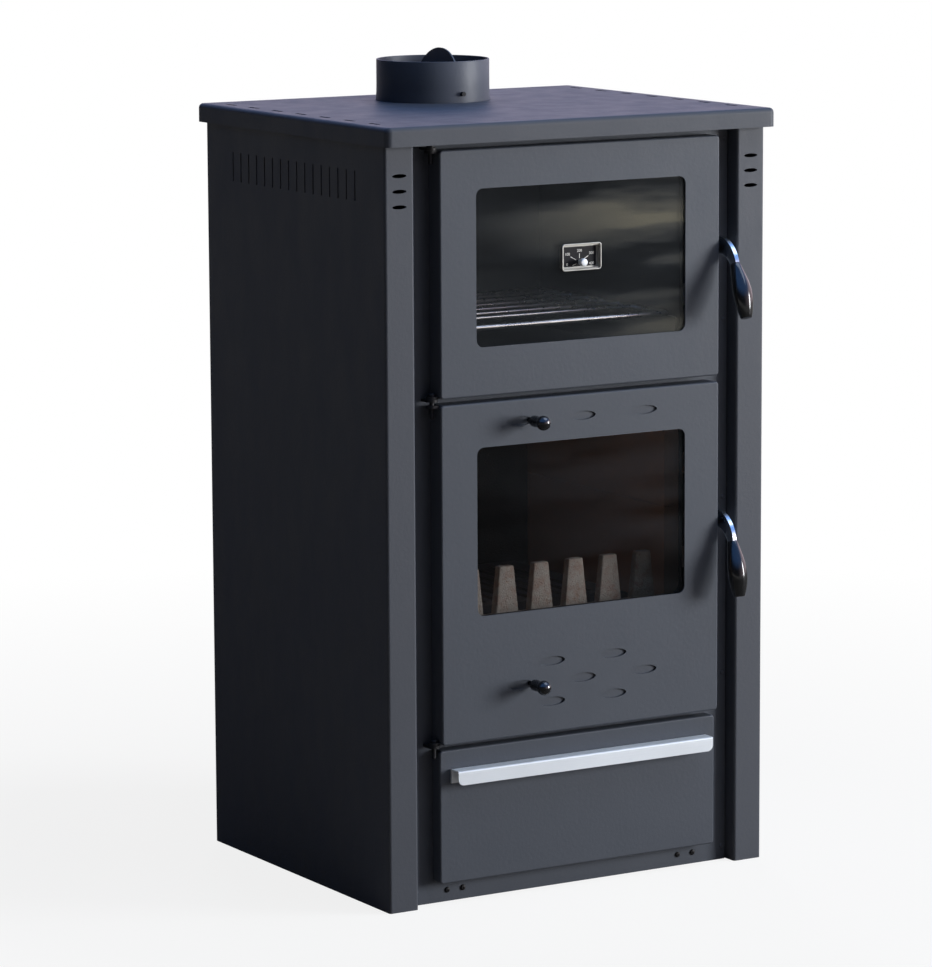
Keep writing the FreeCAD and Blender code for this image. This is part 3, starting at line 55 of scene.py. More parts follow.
# Distance within which a point counts as lying on a line or a face
TOUCH = 0.05 * MM
Piece = bpy.types.Object
Point = Tuple[float, float, float]
Colour = Tuple[float, float, float, float]
Profile = Sequence[Tuple[float, float]]
Ring = Tuple[float, float, float, float]


def metres(profile: Profile) -> Profile:
    """A profile in millimetres, turned into metres."""
    return [(radius * MM, height * MM) for radius, height in profile]


class Wire:
    """A shader socket that can stand in a sum."""

    def __init__(self, graph: "Graph", socket: bpy.types.NodeSocket) -> None:
        """Keeps the socket and the graph that it belongs to."""
        self.graph = graph
        self.socket = socket

    def _math(self, operation: str, first: "Operand", second: "Operand") -> "Wire":
        """Adds one Math node and returns its result."""
        return self.graph.node("ShaderNodeMath", {"operation": operation}, {0: first, 1: second})

    def __add__(self, other: "Operand") -> "Wire":
        """Sum."""
        return self._math("ADD", self, other)

    __radd__ = __add__

    def __sub__(self, other: "Operand") -> "Wire":
        """Difference."""
        return self._math("SUBTRACT", self, other)

    def __rsub__(self, other: "Operand") -> "Wire":
        """Difference, taken from a number."""
        return self._math("SUBTRACT", other, self)

    def __mul__(self, other: "Operand") -> "Wire":
        """Product."""
        return self._math("MULTIPLY", self, other)

    __rmul__ = __mul__

    def __pow__(self, other: "Operand") -> "Wire":
        """Power."""
        return self._math("POWER", self, other)

    def above(self, limit: "Operand") -> "Wire":
        """One where the value passes the limit, else zero."""
        return self._math("GREATER_THAN", self, limit)

    def larger(self, other: "Operand") -> "Wire":
        """The larger of two values."""
        return self._math("MAXIMUM", self, other)


Operand = Union[Wire, float, int]
Socket = Union[Wire, float, int, Sequence[float], str]


class Graph:
    """One node tree, filled by expressions."""

    def __init__(self, tree: bpy.types.NodeTree) -> None:
        """Empties the tree.

        Args:
            tree: node tree of a material or a world.
        """
        self.tree = tree
        tree.nodes.clear()

    def node(self, kind: str, settings: Dict[str, object], inputs: Dict[Union[int, str], Socket],
             output: Union[int, str] = 0) -> Wire:
        """Adds a node.

        Args:
            kind: node type.
            settings: properties that are set first.
            inputs: values or links by socket name or number.
            output: socket that is returned.

        Returns:
            The chosen output; an end node has none.
        """
        made = self.tree.nodes.new(kind)
        for name, value in settings.items():
            setattr(made, name, value)
        for key, value in inputs.items():
            if isinstance(value, Wire):
                self.tree.links.new(value.socket, made.inputs[key])
            else:
                made.inputs[key].default_value = value
        return Wire(self, made.outputs[output]) if made.outputs else None

    def place(self, stretch: Point = (1.0, 1.0, 1.0), turn: Point = (0.0, 0.0, 0.0)) -> Wire:
        """Object coordinates, stretched and turned."""
        where = self.node("ShaderNodeTexCoord", {}, {}, "Object")
        return self.node("ShaderNodeMapping", {}, {"Vector": where, "Scale": stretch, "Rotation": turn})

    def noise(self, scale: float, detail: float = 2.0, rough: float = 0.5,
              where: Optional[Wire] = None) -> Wire:
        """Cloudy noise from about 0 to 1."""
        inputs = {"Vector": where or self.place(), "Scale": scale, "Detail": detail, "Roughness": rough}
        return self.node("ShaderNodeTexNoise", {}, inputs, 0)

    def cells(self, scale: float, output: str = "Distance") -> Wire:
        """Cell pattern: distance to the cell's point, or its own colour."""
        return self.node("ShaderNodeTexVoronoi", {}, {"Vector": self.place(), "Scale": scale}, output)

    def part(self, vector: Wire, index: int) -> Wire:
        """One part of a vector: 0 for X, 1 for Y, 2 for Z."""
        return self.node("ShaderNodeSeparateXYZ", {}, {0: vector}, index)

    def red(self, colour: Wire) -> Wire:
        """A colour's first channel."""
        return self.node("ShaderNodeSeparateColor", {}, {0: colour}, 0)

    def span(self, value: Wire, low: float, high: float, out_low: float = 0.0, out_high: float = 1.0) -> Wire:
        """Value moved from one range to another, kept within it."""
        inputs = {0: value, 1: low, 2: high, 3: out_low, 4: out_high}
        return self.node("ShaderNodeMapRange", {"clamp": True}, inputs)

    def mix(self, share: Operand, first: Socket, second: Socket) -> Wire:
        """Colour between two."""
        return self.node("ShaderNodeMix", {"data_type": "RGBA"}, {0: share, 6: first, 7: second}, 2)

    def spread(self, share: Operand, colour: Colour, low: float, high: float) -> Wire:
        """One colour between a darker and a lighter share of itself."""
        return self.mix(share, shaded(colour, low), shaded(colour, high))

    def blend(self, share: Operand, first: Wire, second: Wire) -> Wire:
        """Shader between two."""
        return self.node("ShaderNodeMixShader", {}, {0: share, 1: first, 2: second})

    def bump(self, height: Wire, strength: float, distance: float) -> Wire:
        """Normal from a height."""
        return self.node("ShaderNodeBump", {}, {"Height": height, "Strength": strength, "Distance": distance})

    def ray(self, kind: str) -> Wire:
        """One for rays of a kind, else zero."""
        return self.node("ShaderNodeLightPath", {}, {}, "Is %s Ray" % kind)

    def seen(self) -> Wire:
        """One for what the camera sees straight or through glass, else zero."""
        return self.ray("Camera").larger(self.ray("Transmission"))

    def surface(self, **inputs: Socket) -> Wire:
        """Principled surface; underscores in the names stand for spaces."""
        named = {name.replace("_", " "): value for name, value in inputs.items()}
        return self.node("ShaderNodeBsdfPrincipled", {}, named)

    def output(self, shader: Wire) -> None:
        """Ends a material."""
        self.node("ShaderNodeOutputMaterial", {}, {0: shader})

    def skin(self, **inputs: Socket) -> None:
        """Ends a material with one principled surface."""
        self.output(self.surface(**inputs))


def tint(red: float, green: float, blue: float) -> Colour:
    """Colour with full cover."""
    return (red, green, blue, 1.0)


WHITE = tint(1.0, 1.0, 1.0)
BLACK = tint(0.0, 0.0, 0.0)


def shaded(colour: Colour, share: float) -> Colour:
    """A colour made darker or lighter by a share."""
    return tint(*(min(1.0, part * share) for part in colour[:3]))


@dataclass(frozen=True)
class Finish:
    """A named surface finish; its material is made once."""

    name: str

    def material(self) -> bpy.types.Material:
        """The finish as a Blender material.

        Returns:
            The material, made at the first call.
        """
        found = bpy.data.materials.get(self.name)
        if found is None:
            found = bpy.data.materials.new(self.name)
            found.use_nodes = True
            self.shade(Graph(found.node_tree))
        return found

    def shade(self, graph: Graph) -> None:
        """Fills the material's nodes."""
        raise NotImplementedError

    def wear(self, piece: Piece) -> None:
        """Puts the finish on a piece in place of what it had."""
        piece.data.materials.clear()
        piece.data.materials.append(self.material())


@dataclass(frozen=True)
class PowderCoat(Finish):
    """Fine-textured baked paint: small grain, faint orange peel, uneven sheen."""

    colour: Colour = tint(0.06, 0.067, 0.083)
    sheen: float = 0.5

    def shade(self, graph: Graph) -> None:
        """Builds the paint.

        Args:
            graph: node tree that is filled.
        """
        grain = graph.noise(1500.0, 2.0, 0.6)
        peel = graph.noise(260.0, 2.0, 0.5)
        cloud = graph.noise(5.0, 4.0, 0.55)
        rubbed = graph.noise(34.0, 5.0, 0.62, graph.place((1.0, 1.0, 0.35)))
        tone = graph.span(cloud * 0.5 + grain * 0.5, 0.3, 0.7)
        colour = graph.spread(tone, self.colour, 0.95, 1.05)
        rough = self.sheen + 0.04 * graph.span(rubbed, 0.35, 0.65, -1.0, 1.0) + 0.06 * (grain - 0.5)
        height = grain * 0.5 + peel
        normal = graph.bump(height, 0.22, 0.0005)
        graph.skin(Base_Color=colour, Roughness=rough, Normal=normal, Specular_IOR_Level=0.24)


@dataclass(frozen=True)
class HeatPaint(Finish):
    """Matt heat-proof black with a film of soot and ash."""

    colour: Colour = tint(0.028, 0.027, 0.027)
    ash: float = 0.25
    ash_colour: Colour = tint(0.13, 0.115, 0.1)

    def shade(self, graph: Graph) -> None:
        """Builds the paint.

        Args:
            graph: node tree that is filled.
        """
        cloud = graph.noise(11.0, 6.0, 0.62)
        grain = graph.noise(700.0, 3.0, 0.6)
        film = graph.span(cloud, 0.45, 0.75, 0.0, self.ash)
        colour = graph.mix(film, self.colour, self.ash_colour)
        rough = 0.72 + 0.2 * (cloud - 0.5)
        normal = graph.bump(grain + cloud * 0.4, 0.3, 0.0006)
        graph.skin(Base_Color=colour, Roughness=rough, Normal=normal, Specular_IOR_Level=0.3)


@dataclass(frozen=True)
class Enamel(Finish):
    """Glossy black oven enamel with fine pale specks, wiped streaks and painted reflection bands in its
    colour.
    """

    colour: Colour = tint(0.03, 0.034, 0.038)
    speck: Colour = tint(0.2, 0.21, 0.22)
    # Pale tone of the painted reflection bands.
    reflection_tint: Colour = tint(0.205, 0.205, 0.19)

    def shade(self, graph: Graph) -> None:
        """Builds the enamel.

        Args:
            graph: node tree that is filled.
        """
        # Painted reflection: tall noise bands lighten the base colour where the surroundings would mirror in
        # the gloss.
        bands = graph.noise(7.0, 5.0, 0.58, graph.place((0.7, 0.7, 2.6)))
        reflection_banded = graph.mix(graph.span(bands, 0.45, 0.68), self.colour, self.reflection_tint)
        dots = graph.cells(420.0)
        picked = graph.noise(90.0, 1.0, 0.5)
        specks = (0.16 - dots).above(0.0) * picked.above(0.56)
        wiped = graph.noise(16.0, 4.0, 0.6, graph.place((1.0, 0.25, 1.0)))
        colour = graph.mix(specks * 0.8, reflection_banded, self.speck)
        rough = graph.span(wiped, 0.3, 0.7, 0.16, 0.36)
        normal = graph.bump(graph.noise(140.0, 2.0), 0.12, 0.0006)
        graph.skin(Base_Color=colour, Roughness=rough, Normal=normal, Metallic=0.45)


@dataclass(frozen=True)
class ZincPlate(Finish):
    """Zinc-plated sheet with a faint spangle."""

    colour: Colour = tint(0.42, 0.43, 0.45)

    def shade(self, graph: Graph) -> None:
        """Builds the plating.

        Args:
            graph: node tree that is filled.
        """
        spangle = graph.cells(130.0, "Color")
        scuff = graph.noise(300.0, 4.0, 0.65, graph.place((1.0, 0.08, 1.0)))
        flake = graph.red(spangle)
        colour = graph.spread(flake, self.colour, 0.92, 1.07)
        rough = 0.34 + 0.07 * flake + 0.12 * scuff
        normal = graph.bump(scuff, 0.1, 0.0003)
        graph.skin(Base_Color=colour, Metallic=1.0, Roughness=rough, Normal=normal)


@dataclass(frozen=True)
class BrushedMetal(Finish):
    """Bright metal brushed along X."""

    colour: Colour = tint(0.67, 0.715, 0.765)
    rough: float = 0.5
    metal: float = 0.2

    def shade(self, graph: Graph) -> None:
        """Builds the brushing.

        Args:
            graph: node tree that is filled.
        """
        lines = graph.noise(120.0, 6.0, 0.7, graph.place((0.02, 9.0, 9.0)))
        cloud = graph.noise(24.0, 3.0, 0.5, graph.place((0.4, 1.0, 1.0)))
        colour = graph.spread(lines * 0.5 + cloud * 0.5, self.colour, 0.86, 1.1)
        rough = self.rough + 0.2 * (lines - 0.5) + 0.12 * (cloud - 0.5)
        normal = graph.bump(lines, 0.14, 0.0002)
        graph.skin(Base_Color=colour, Metallic=self.metal, Roughness=rough, Normal=normal)


@dataclass(frozen=True)
class Chrome(Finish):
    """Polished plating with finger marks and hairlines."""

    colour: Colour = tint(0.72, 0.73, 0.76)
    rough: float = 0.09

    def shade(self, graph: Graph) -> None:
        """Builds the plating.

        Args:
            graph: node tree that is filled.
        """
        smear = graph.noise(55.0, 4.0, 0.6)
        hair = graph.noise(900.0, 2.0, 0.5, graph.place((1.0, 1.0, 0.06)))
        colour = graph.spread(smear, self.colour, 0.92, 1.05)
        rough = self.rough + 0.1 * graph.span(smear, 0.4, 0.75) + 0.04 * hair
        normal = graph.bump(hair, 0.04, 0.0002)
        graph.skin(Base_Color=colour, Metallic=1.0, Roughness=rough, Normal=normal)


@dataclass(frozen=True)
class CastIron(Finish):
    """Sand-cast iron: pitted grain, brown bloom and pale ash in the hollows."""

    colour: Colour = tint(0.2, 0.19, 0.185)
    bloom: Colour = tint(0.24, 0.15, 0.11)

    def shade(self, graph: Graph) -> None:
        """Builds the casting skin.

        Args:
            graph: node tree that is filled.
        """
        sand = graph.noise(520.0, 5.0, 0.7)
        pits = graph.cells(330.0)
        cloud = graph.noise(75.0, 5.0, 0.66)
        stained = graph.mix(graph.span(cloud, 0.44, 0.6, 0.0, 0.8), self.colour, self.bloom)
        colour = graph.mix(graph.span(sand, 0.35, 0.7, 0.0, 0.6), stained, shaded(self.colour, 1.4))
        height = sand + graph.span(pits, 0.0, 0.35, -0.6, 0.0)
        normal = graph.bump(height, 0.8, 0.0014)
        rough = 0.7 + 0.2 * (sand - 0.5)
        graph.skin(Base_Color=colour, Roughness=rough, Normal=normal, Specular_IOR_Level=0.35)


@dataclass(frozen=True)
class Fireclay(Finish):
    """Pressed refractory brick: speckled, pitted and smoked, with painted shade above a set height."""

    colour: Colour = tint(0.15, 0.078, 0.05)
    grit: Colour = tint(0.27, 0.19, 0.14)
    soot: Colour = tint(0.035, 0.03, 0.028)
    # Height above which the bricks are darkened: painted shade that hides their lit top face.
    painted_shade_line: float = 0.5
    painted_shade_fade: float = 0.018

    def shade(self, graph: Graph) -> None:
        """Builds the brick.

        Args:
            graph: node tree that is filled.
        """
        stones = graph.cells(240.0)
        cloud = graph.noise(9.0, 6.0, 0.62)
        grain = graph.noise(420.0, 4.0, 0.65)
        clay = graph.spread(grain, self.colour, 0.75, 1.25)
        gritty = graph.mix((0.2 - stones).above(0.0) * graph.span(grain, 0.4, 0.6, 0.0, 0.7), clay, self.grit)
        upright = graph.part(graph.place(), 2)
        # Painted shade: everything above the line takes the soot colour; below it the soot is random cloud.
        above = graph.span(upright, self.painted_shade_line, self.painted_shade_line + self.painted_shade_fade, 0.0, 0.92)
        smoked = graph.span(cloud, 0.4, 0.7, 0.0, 0.8).larger(above)
        colour = graph.mix(smoked, gritty, self.soot)
        normal = graph.bump(grain + graph.span(stones, 0.0, 0.3, 0.0, 0.6), 0.5, 0.0012)
        graph.skin(Base_Color=colour, Roughness=0.9, Normal=normal, Specular_IOR_Level=0.2)


@dataclass(frozen=True)
class SealRope(Finish):
    """Braided glass rope: crossed strands."""

    colour: Colour = tint(0.11, 0.11, 0.112)

    def shade(self, graph: Graph) -> None:
        """Builds the braid.

        Args:
            graph: node tree that is filled.
        """
        settings = {"wave_type": "BANDS", "bands_direction": "DIAGONAL"}
        lay = {"Scale": 210.0, "Distortion": 0.6}
        one = graph.node("ShaderNodeTexWave", settings, {"Vector": graph.place(), **lay})
        other = graph.node("ShaderNodeTexWave", settings, {"Vector": graph.place((-1.0, 1.0, 1.0)), **lay})
        strands = graph.red(one).larger(graph.red(other))
        fuzz = graph.noise(1600.0, 2.0)
        colour = graph.spread(strands, self.colour, 0.4, 1.4)
        normal = graph.bump(strands + fuzz * 0.3, 0.8, 0.001)
        graph.skin(Base_Color=colour, Roughness=0.92, Normal=normal, Specular_IOR_Level=0.2)


@dataclass(frozen=True)
class GlossBlack(Finish):
    """Moulded gloss black with faint flow marks and dust."""

    colour: Colour = tint(0.008, 0.008, 0.009)
    rough: float = 0.13
    dust_colour: Colour = tint(0.08, 0.08, 0.08)

    def shade(self, graph: Graph) -> None:
        """Builds the moulding.

        Args:
            graph: node tree that is filled.
        """
        flow = graph.noise(70.0, 3.0, 0.5)
        dust = graph.noise(2400.0, 1.0, 0.5)
        specks = dust.above(0.7)
        colour = graph.mix(specks * 0.25, self.colour, self.dust_colour)
        rough = self.rough + 0.09 * graph.span(flow, 0.35, 0.7) + 0.15 * specks
        normal = graph.bump(flow, 0.05, 0.0006)
        graph.skin(Base_Color=colour, Roughness=rough, Normal=normal, Coat_Weight=0.4)


@dataclass(frozen=True)
class BlackOxide(Finish):
    """Blackened steel of the hinges: satin, rubbed a little."""

    colour: Colour = tint(0.01, 0.01, 0.011)
    rubbed: Colour = tint(0.06, 0.06, 0.063)

    def shade(self, graph: Graph) -> None:
        """Builds the blackening.

        Args:
            graph: node tree that is filled.
        """
        rub = graph.noise(180.0, 4.0, 0.6)
        grain = graph.noise(1200.0, 2.0)
        colour = graph.mix(graph.span(rub, 0.55, 0.85, 0.0, 0.4), self.colour, self.rubbed)
        normal = graph.bump(grain, 0.15, 0.0003)
        graph.skin(Base_Color=colour, Metallic=0.1, Roughness=0.42 + 0.2 * rub, Normal=normal,
                   Specular_IOR_Level=0.25)


@dataclass(frozen=True)
class DoorGlass(Finish):
    """Clear heat-proof pane: see-through face on, mirror-like at a slant, with a diffuse layer of painted
    reflection bands towards one upper corner and a faint veil.
    """

    through: Colour = tint(0.92, 0.91, 0.89)
    # Share and tone of the painted reflection bands.
    film: float = 0.11
    reflection_colour: Colour = tint(0.58, 0.55, 0.44)
    middle: float = 0.705
    veil: float = 0.036
    veil_colour: Colour = tint(0.33, 0.38, 0.45)
    face_on: float = 0.045

    def shade(self, graph: Graph) -> None:
        """Builds the pane.

        Args:
            graph: node tree that is filled.
        """
        facing = graph.node("ShaderNodeLayerWeight", {}, {"Blend": 0.5}, "Facing")
        share = self.face_on + (1.0 - self.face_on) * facing ** 5.0
        clear = graph.node("ShaderNodeBsdfTransparent", {}, {0: self.through})
        # Painted reflection: a diffuse layer of cloudy bands, gathered towards one upper corner, stands in
        # for the surroundings mirrored in the pane; a faint wiped veil covers the rest.
        reflection_noise = graph.noise(5.0, 3.0, 0.5, graph.place((0.8, 1.0, 5.0), (0.0, 0.14, 0.0)))
        wiped = graph.noise(60.0, 3.0, 0.6, graph.place((0.15, 1.0, 1.0)))
        polish = graph.span(wiped, 0.4, 0.8, 0.02, 0.06)
        mirror = graph.surface(Base_Color=BLACK, Roughness=polish, Specular_IOR_Level=1.0,
                               Coat_Weight=1.0, Metallic=0.0)
        pane = graph.blend(share, clear, mirror)
        across = graph.part(graph.place(), 0)
        upright = graph.part(graph.place(), 2)
        corner = graph.span(across + 0.9 * (upright - self.middle), -0.09, 0.12, 0.12, 1.0)
        bands = graph.span(reflection_noise, 0.42, 0.62) * corner
        tone = graph.mix(bands, self.veil_colour, self.reflection_colour)
        reflection_veil_layer = graph.surface(Base_Color=tone, Roughness=0.8, Specular_IOR_Level=0.0)
        reflection_veil_share = self.film * bands + self.veil * wiped
        graph.output(graph.blend(reflection_veil_share, pane, reflection_veil_layer))


@dataclass(frozen=True)
class DialPrint(Finish):
    """Printed scale: ink or ground with a fine screen grain."""

    colour: Colour = tint(0.012, 0.012, 0.014)
    rough: float = 0.6

    def shade(self, graph: Graph) -> None:
        """Builds the print.

        Args:
            graph: node tree that is filled.
        """
        screen = graph.noise(3200.0, 2.0)
        cloud = graph.noise(260.0, 3.0)
        colour = graph.spread(screen * 0.6 + cloud * 0.4, self.colour, 0.85, 1.15)
        normal = graph.bump(screen, 0.06, 0.0001)
        rough = self.rough + 0.1 * (cloud - 0.5)
        graph.skin(Base_Color=colour, Roughness=rough, Normal=normal, Specular_IOR_Level=0.15)


@dataclass(frozen=True)
class StudioFloor(Finish):
    """Pale ground that shows white further out and keeps a soft shadow near the stove."""

    bounce: Colour = tint(0.74, 0.63, 0.53)
    in_mirrors: Colour = tint(0.08, 0.08, 0.08)
    shown: Colour = tint(0.95, 0.95, 0.95)
    shown_near: float = 0.85
    shade_radius: float = 0.6
    white_radius: float = 1.9
    near_mirrored: float = 0.06
    far_mirrored: float = 0.36
    near_distance: float = 2.8
    far_distance: float = 5.2

    def shade(self, graph: Graph) -> None:
        """Builds the ground.

        Args:
            graph: node tree that is filled.
        """
        straight = graph.seen()
        unseen = graph.mix(graph.ray("Glossy"), self.bounce, self.in_mirrors)
        pale = graph.node("ShaderNodeBsdfDiffuse", {}, {0: graph.mix(straight, unseen, self.shown)})
        white = graph.node("ShaderNodeEmission", {}, {0: WHITE, 1: 1.0})
        where = graph.node("ShaderNodeTexCoord", {}, {}, "Object")
        distance = graph.node("ShaderNodeVectorMath", {"operation": "LENGTH"}, {0: where}, "Value")
        mirrored = graph.span(distance, self.near_distance, self.far_distance,
                              self.near_mirrored, self.far_mirrored)
        shown = graph.span(distance, self.shade_radius, self.white_radius, self.shown_near)
        share = (straight * shown).larger(graph.ray("Glossy") * mirrored)
        graph.output(graph.blend(share, pale, white))


class Finishes(Enum):
    """Every finish on the stove and under it."""

    CASING = PowderCoat("casing_powder_coat")
    FRONT = PowderCoat("front_powder_coat", tint(0.059, 0.068, 0.086), sheen=0.48)
    # Painted light: a lighter, bluer copy of the casing paint for the flue collar and damper, standing in for
    # sky light on the cylinder.
    COLLAR = PowderCoat("collar_powder_coat_painted_skylight", tint(0.08, 0.09, 0.116), sheen=0.46)
    INNER = HeatPaint("heat_paint")
    SMOKED = HeatPaint("smoked_steel", tint(0.022, 0.02, 0.019), ash=0.45)
    ENAMEL = Enamel("oven_enamel")
    ZINC = ZincPlate("zinc_plate")
    BRUSHED = BrushedMetal("brushed_bar")
    SATIN = BrushedMetal("satin_cap", tint(0.66, 0.69, 0.73), rough=0.5, metal=0.3)
    RIM = BrushedMetal("satin_rim", tint(0.4, 0.395, 0.365), rough=0.45, metal=0.4)
    LEVER = Chrome("lever_steel", tint(0.62, 0.66, 0.7), rough=0.17)
    RACK = Chrome("rack_chrome", tint(0.68, 0.68, 0.69), rough=0.24)
    IRON = CastIron("cast_iron")
    ASHY_IRON = CastIron("ashy_cast_iron", tint(0.34, 0.325, 0.315), bloom=tint(0.27, 0.165, 0.125))
    CLAY = Fireclay("fireclay")
    SMOKED_CLAY = Fireclay("smoked_fireclay", tint(0.07, 0.052, 0.045), grit=tint(0.13, 0.11, 0.1))
    ROPE = SealRope("seal_rope")
    GRIP = GlossBlack("gloss_black")
    OXIDE = BlackOxide("black_oxide")
    OVEN_GLASS = DoorGlass("oven_glass")
    FIRE_GLASS = DoorGlass("fire_glass", tint(0.84, 0.825, 0.81), middle=0.41,
                           film=0.03, reflection_colour=tint(0.2, 0.23, 0.28),
                           veil=0.011, veil_colour=tint(0.3, 0.34, 0.39))
    DIAL = DialPrint("dial_ground")
    INK = DialPrint("dial_ink", tint(0.8, 0.8, 0.78), rough=0.5)
    FLOOR = StudioFloor("studio_floor")


NODE_FINISHES: Dict[Finishes, Tuple[str, ...]] = {
    Finishes.CASING: ("left_side_panel", "right_side_panel", "back_panel", "top_plate"),
    Finishes.COLLAR: ("flue_collar", "damper_disc"),
    Finishes.FRONT: ("front_frame", "frame_rivets", "oven_door_panel", "fire_door_panel", "drawer_front",
                     "upper_air_slide", "lower_air_slide"),
    Finishes.INNER: ("base_plate", "oven_door_liner", "fire_door_liner"),
    Finishes.SMOKED: ("inner_jacket", "jacket_top", "ash_floor", "grate_shelf"),
    Finishes.ENAMEL: ("oven_box", "oven_rack_runners"),
    Finishes.ZINC: ("back_screws", "ash_pan", "drawer_rails", "drawer_box", "oven_glass_clips",
                    "oven_glass_screws", "fire_glass_clips", "fire_glass_screws", "air_slide_guides",
                    "plinth_screws"),
    Finishes.BRUSHED: ("drawer_handle",),
    Finishes.LEVER: ("oven_handle_lever", "fire_handle_lever"),
    Finishes.RIM: ("thermometer_case",),
    Finishes.SATIN: ("thermometer_pointer",),
    Finishes.RACK: ("oven_rack",),
    Finishes.IRON: ("fire_grate", "log_guard"),
    Finishes.CLAY: ("left_firebricks", "right_firebricks"),
    Finishes.SMOKED_CLAY: ("rear_firebricks",),
    Finishes.ROPE: ("oven_door_seal", "fire_door_seal"),
    Finishes.GRIP: ("oven_handle_grip", "fire_handle_grip", "upper_air_knob", "lower_air_knob"),
    Finishes.OXIDE: ("oven_handle_pivot", "fire_handle_pivot", "damper_spindle", "hinge_pins",
                     "hinge_brackets", "oven_door_lugs", "fire_door_lugs"),
    Finishes.OVEN_GLASS: ("oven_door_glass",),
    Finishes.FIRE_GLASS: ("fire_door_glass",),
    Finishes.DIAL: ("thermometer_dial",),
}


@dataclass(frozen=True)
class Lamp:
    """One soft square lamp: metres, watts and a tint."""

    name: str
    place: Point
    aim: Point
    size: float
    power: float
    colour: Point
    mirrored: bool = True

    def build(self) -> None:
        """Hangs the lamp and turns it to its aim."""
        data = bpy.data.lights.new(self.name, "AREA")
        data.size = self.size
        data.energy = self.power
        data.color = self.colour
        lamp = bpy.data.objects.new(self.name, data)
        lamp.location = self.place
        way = Vector(self.aim) - Vector(self.place)
        lamp.rotation_euler = way.to_track_quat("-Z", "Y").to_euler()
        lamp.visible_camera = False
        lamp.visible_glossy = self.mirrored
        bpy.context.scene.collection.objects.link(lamp)


@dataclass
class Studio:
    """Pale floor, soft light and the camera at the photo's place."""

    camera_place: Point = (-2.670, -4.398, 1.255)
    azimuth: float = -31.03
    elevation: float = 9.12
    roll: float = -0.28
    focal_pixels: float = 4549.7
    frame_pixels: float = 967.0
    sensor: float = 36.0
    far_clip: float = 200.0
    floor_half: float = 60.0
    floor_drop: float = 0.5 * MM
    bright_sky: Colour = tint(1.42, 1.17, 1.3)
    high_sky: Colour = tint(0.19, 0.46, 1.14)
    dim_sky: Colour = tint(0.036, 0.038, 0.048)
    fill: float = 0.024
    fill_colour: Colour = tint(0.9, 0.95, 1.0)
    side_span: Tuple[float, float] = (-0.3, 0.35)
    rise_span: Tuple[float, float] = (0.25, 0.55)
    lamps: Tuple[Lamp, ...] = (
        Lamp("key_light", place=(3.8, -3.0, 1.1), aim=(0.0, 0.0, 0.38), size=1.7, power=254.0,
             colour=(0.97, 0.985, 1.0)),
        Lamp("back_light", place=(2.1, 4.3, 2.4), aim=(0.0, 0.0, 0.5), size=1.6, power=45.0,
             colour=(0.93, 0.9, 1.0), mirrored=False),
        Lamp("sky_light", place=(0.9, -1.1, 3.3), aim=(0.0, 0.0, 0.7), size=2.2, power=40.0,
             colour=(0.78, 0.88, 1.0)))

    def build(self) -> None:
        """Sets up the whole stage."""
        bpy.context.scene.view_settings.view_transform = "Standard"
        self.build_camera()
        self.build_world()
        self.build_floor()
        for lamp in self.lamps:
            lamp.build()

    def build_camera(self) -> None:
        """Camera solved from the photo's straight edges."""
        data = bpy.data.cameras.new("photo_camera")
        data.sensor_width = self.sensor
        data.lens = self.focal_pixels / self.frame_pixels * self.sensor
        data.clip_end = self.far_clip
        camera = bpy.data.objects.new("photo_camera", data)
        turn = math.radians(self.azimuth)
        lift = math.radians(self.elevation)
        back = Vector((math.sin(turn) * math.cos(lift), -math.cos(turn) * math.cos(lift), math.sin(lift)))
        right = Vector((0.0, 0.0, 1.0)).cross(back).normalized()
        up = back.cross(right)
        lean = math.radians(self.roll)
        side = math.cos(lean) * right + math.sin(lean) * up
        top = math.cos(lean) * up - math.sin(lean) * right
        columns = Matrix((side, top, back)).transposed().to_4x4()
        camera.matrix_world = Matrix.Translation(Vector(self.camera_place)) @ columns
        bpy.context.scene.collection.objects.link(camera)
        bpy.context.scene.camera = camera

    def build_world(self) -> None:
        """White to look at, a bright right and a dim left side to be mirrored, and a weak even fill."""
        world = bpy.data.worlds.new("studio_world")
        bpy.context.scene.world = world
        world.use_nodes = True
        graph = Graph(world.node_tree)
        way = graph.node("ShaderNodeTexCoord", {}, {}, "Generated")
        side = graph.part(way, 0)
        height = graph.part(way, 2)
        low_sky = graph.mix(graph.span(side, *self.side_span), self.dim_sky, self.bright_sky)
        colour = graph.mix(graph.span(height, *self.rise_span), low_sky, self.high_sky)
        mirrored = graph.node("ShaderNodeBackground", {}, {0: colour, 1: 1.0})
        white = graph.node("ShaderNodeBackground", {}, {0: WHITE, 1: 1.0})
        even = graph.node("ShaderNodeBackground", {}, {0: self.fill_colour, 1: self.fill})
        both = graph.blend(graph.ray("Glossy"), even, mirrored)
        shown = graph.blend(graph.seen(), both, white)
        graph.node("ShaderNodeOutputWorld", {}, {0: shown})

    def build_floor(self) -> None:
        """Pale floor that shows white and keeps a soft shadow."""
        bpy.ops.object.select_all(action="DESELECT")
        bpy.ops.mesh.primitive_plane_add(size=2 * self.floor_half, location=(0.0, 0.0, -self.floor_drop))
        floor = bpy.context.object
        floor.name = "studio_floor"
        Finishes.FLOOR.value.wear(floor)


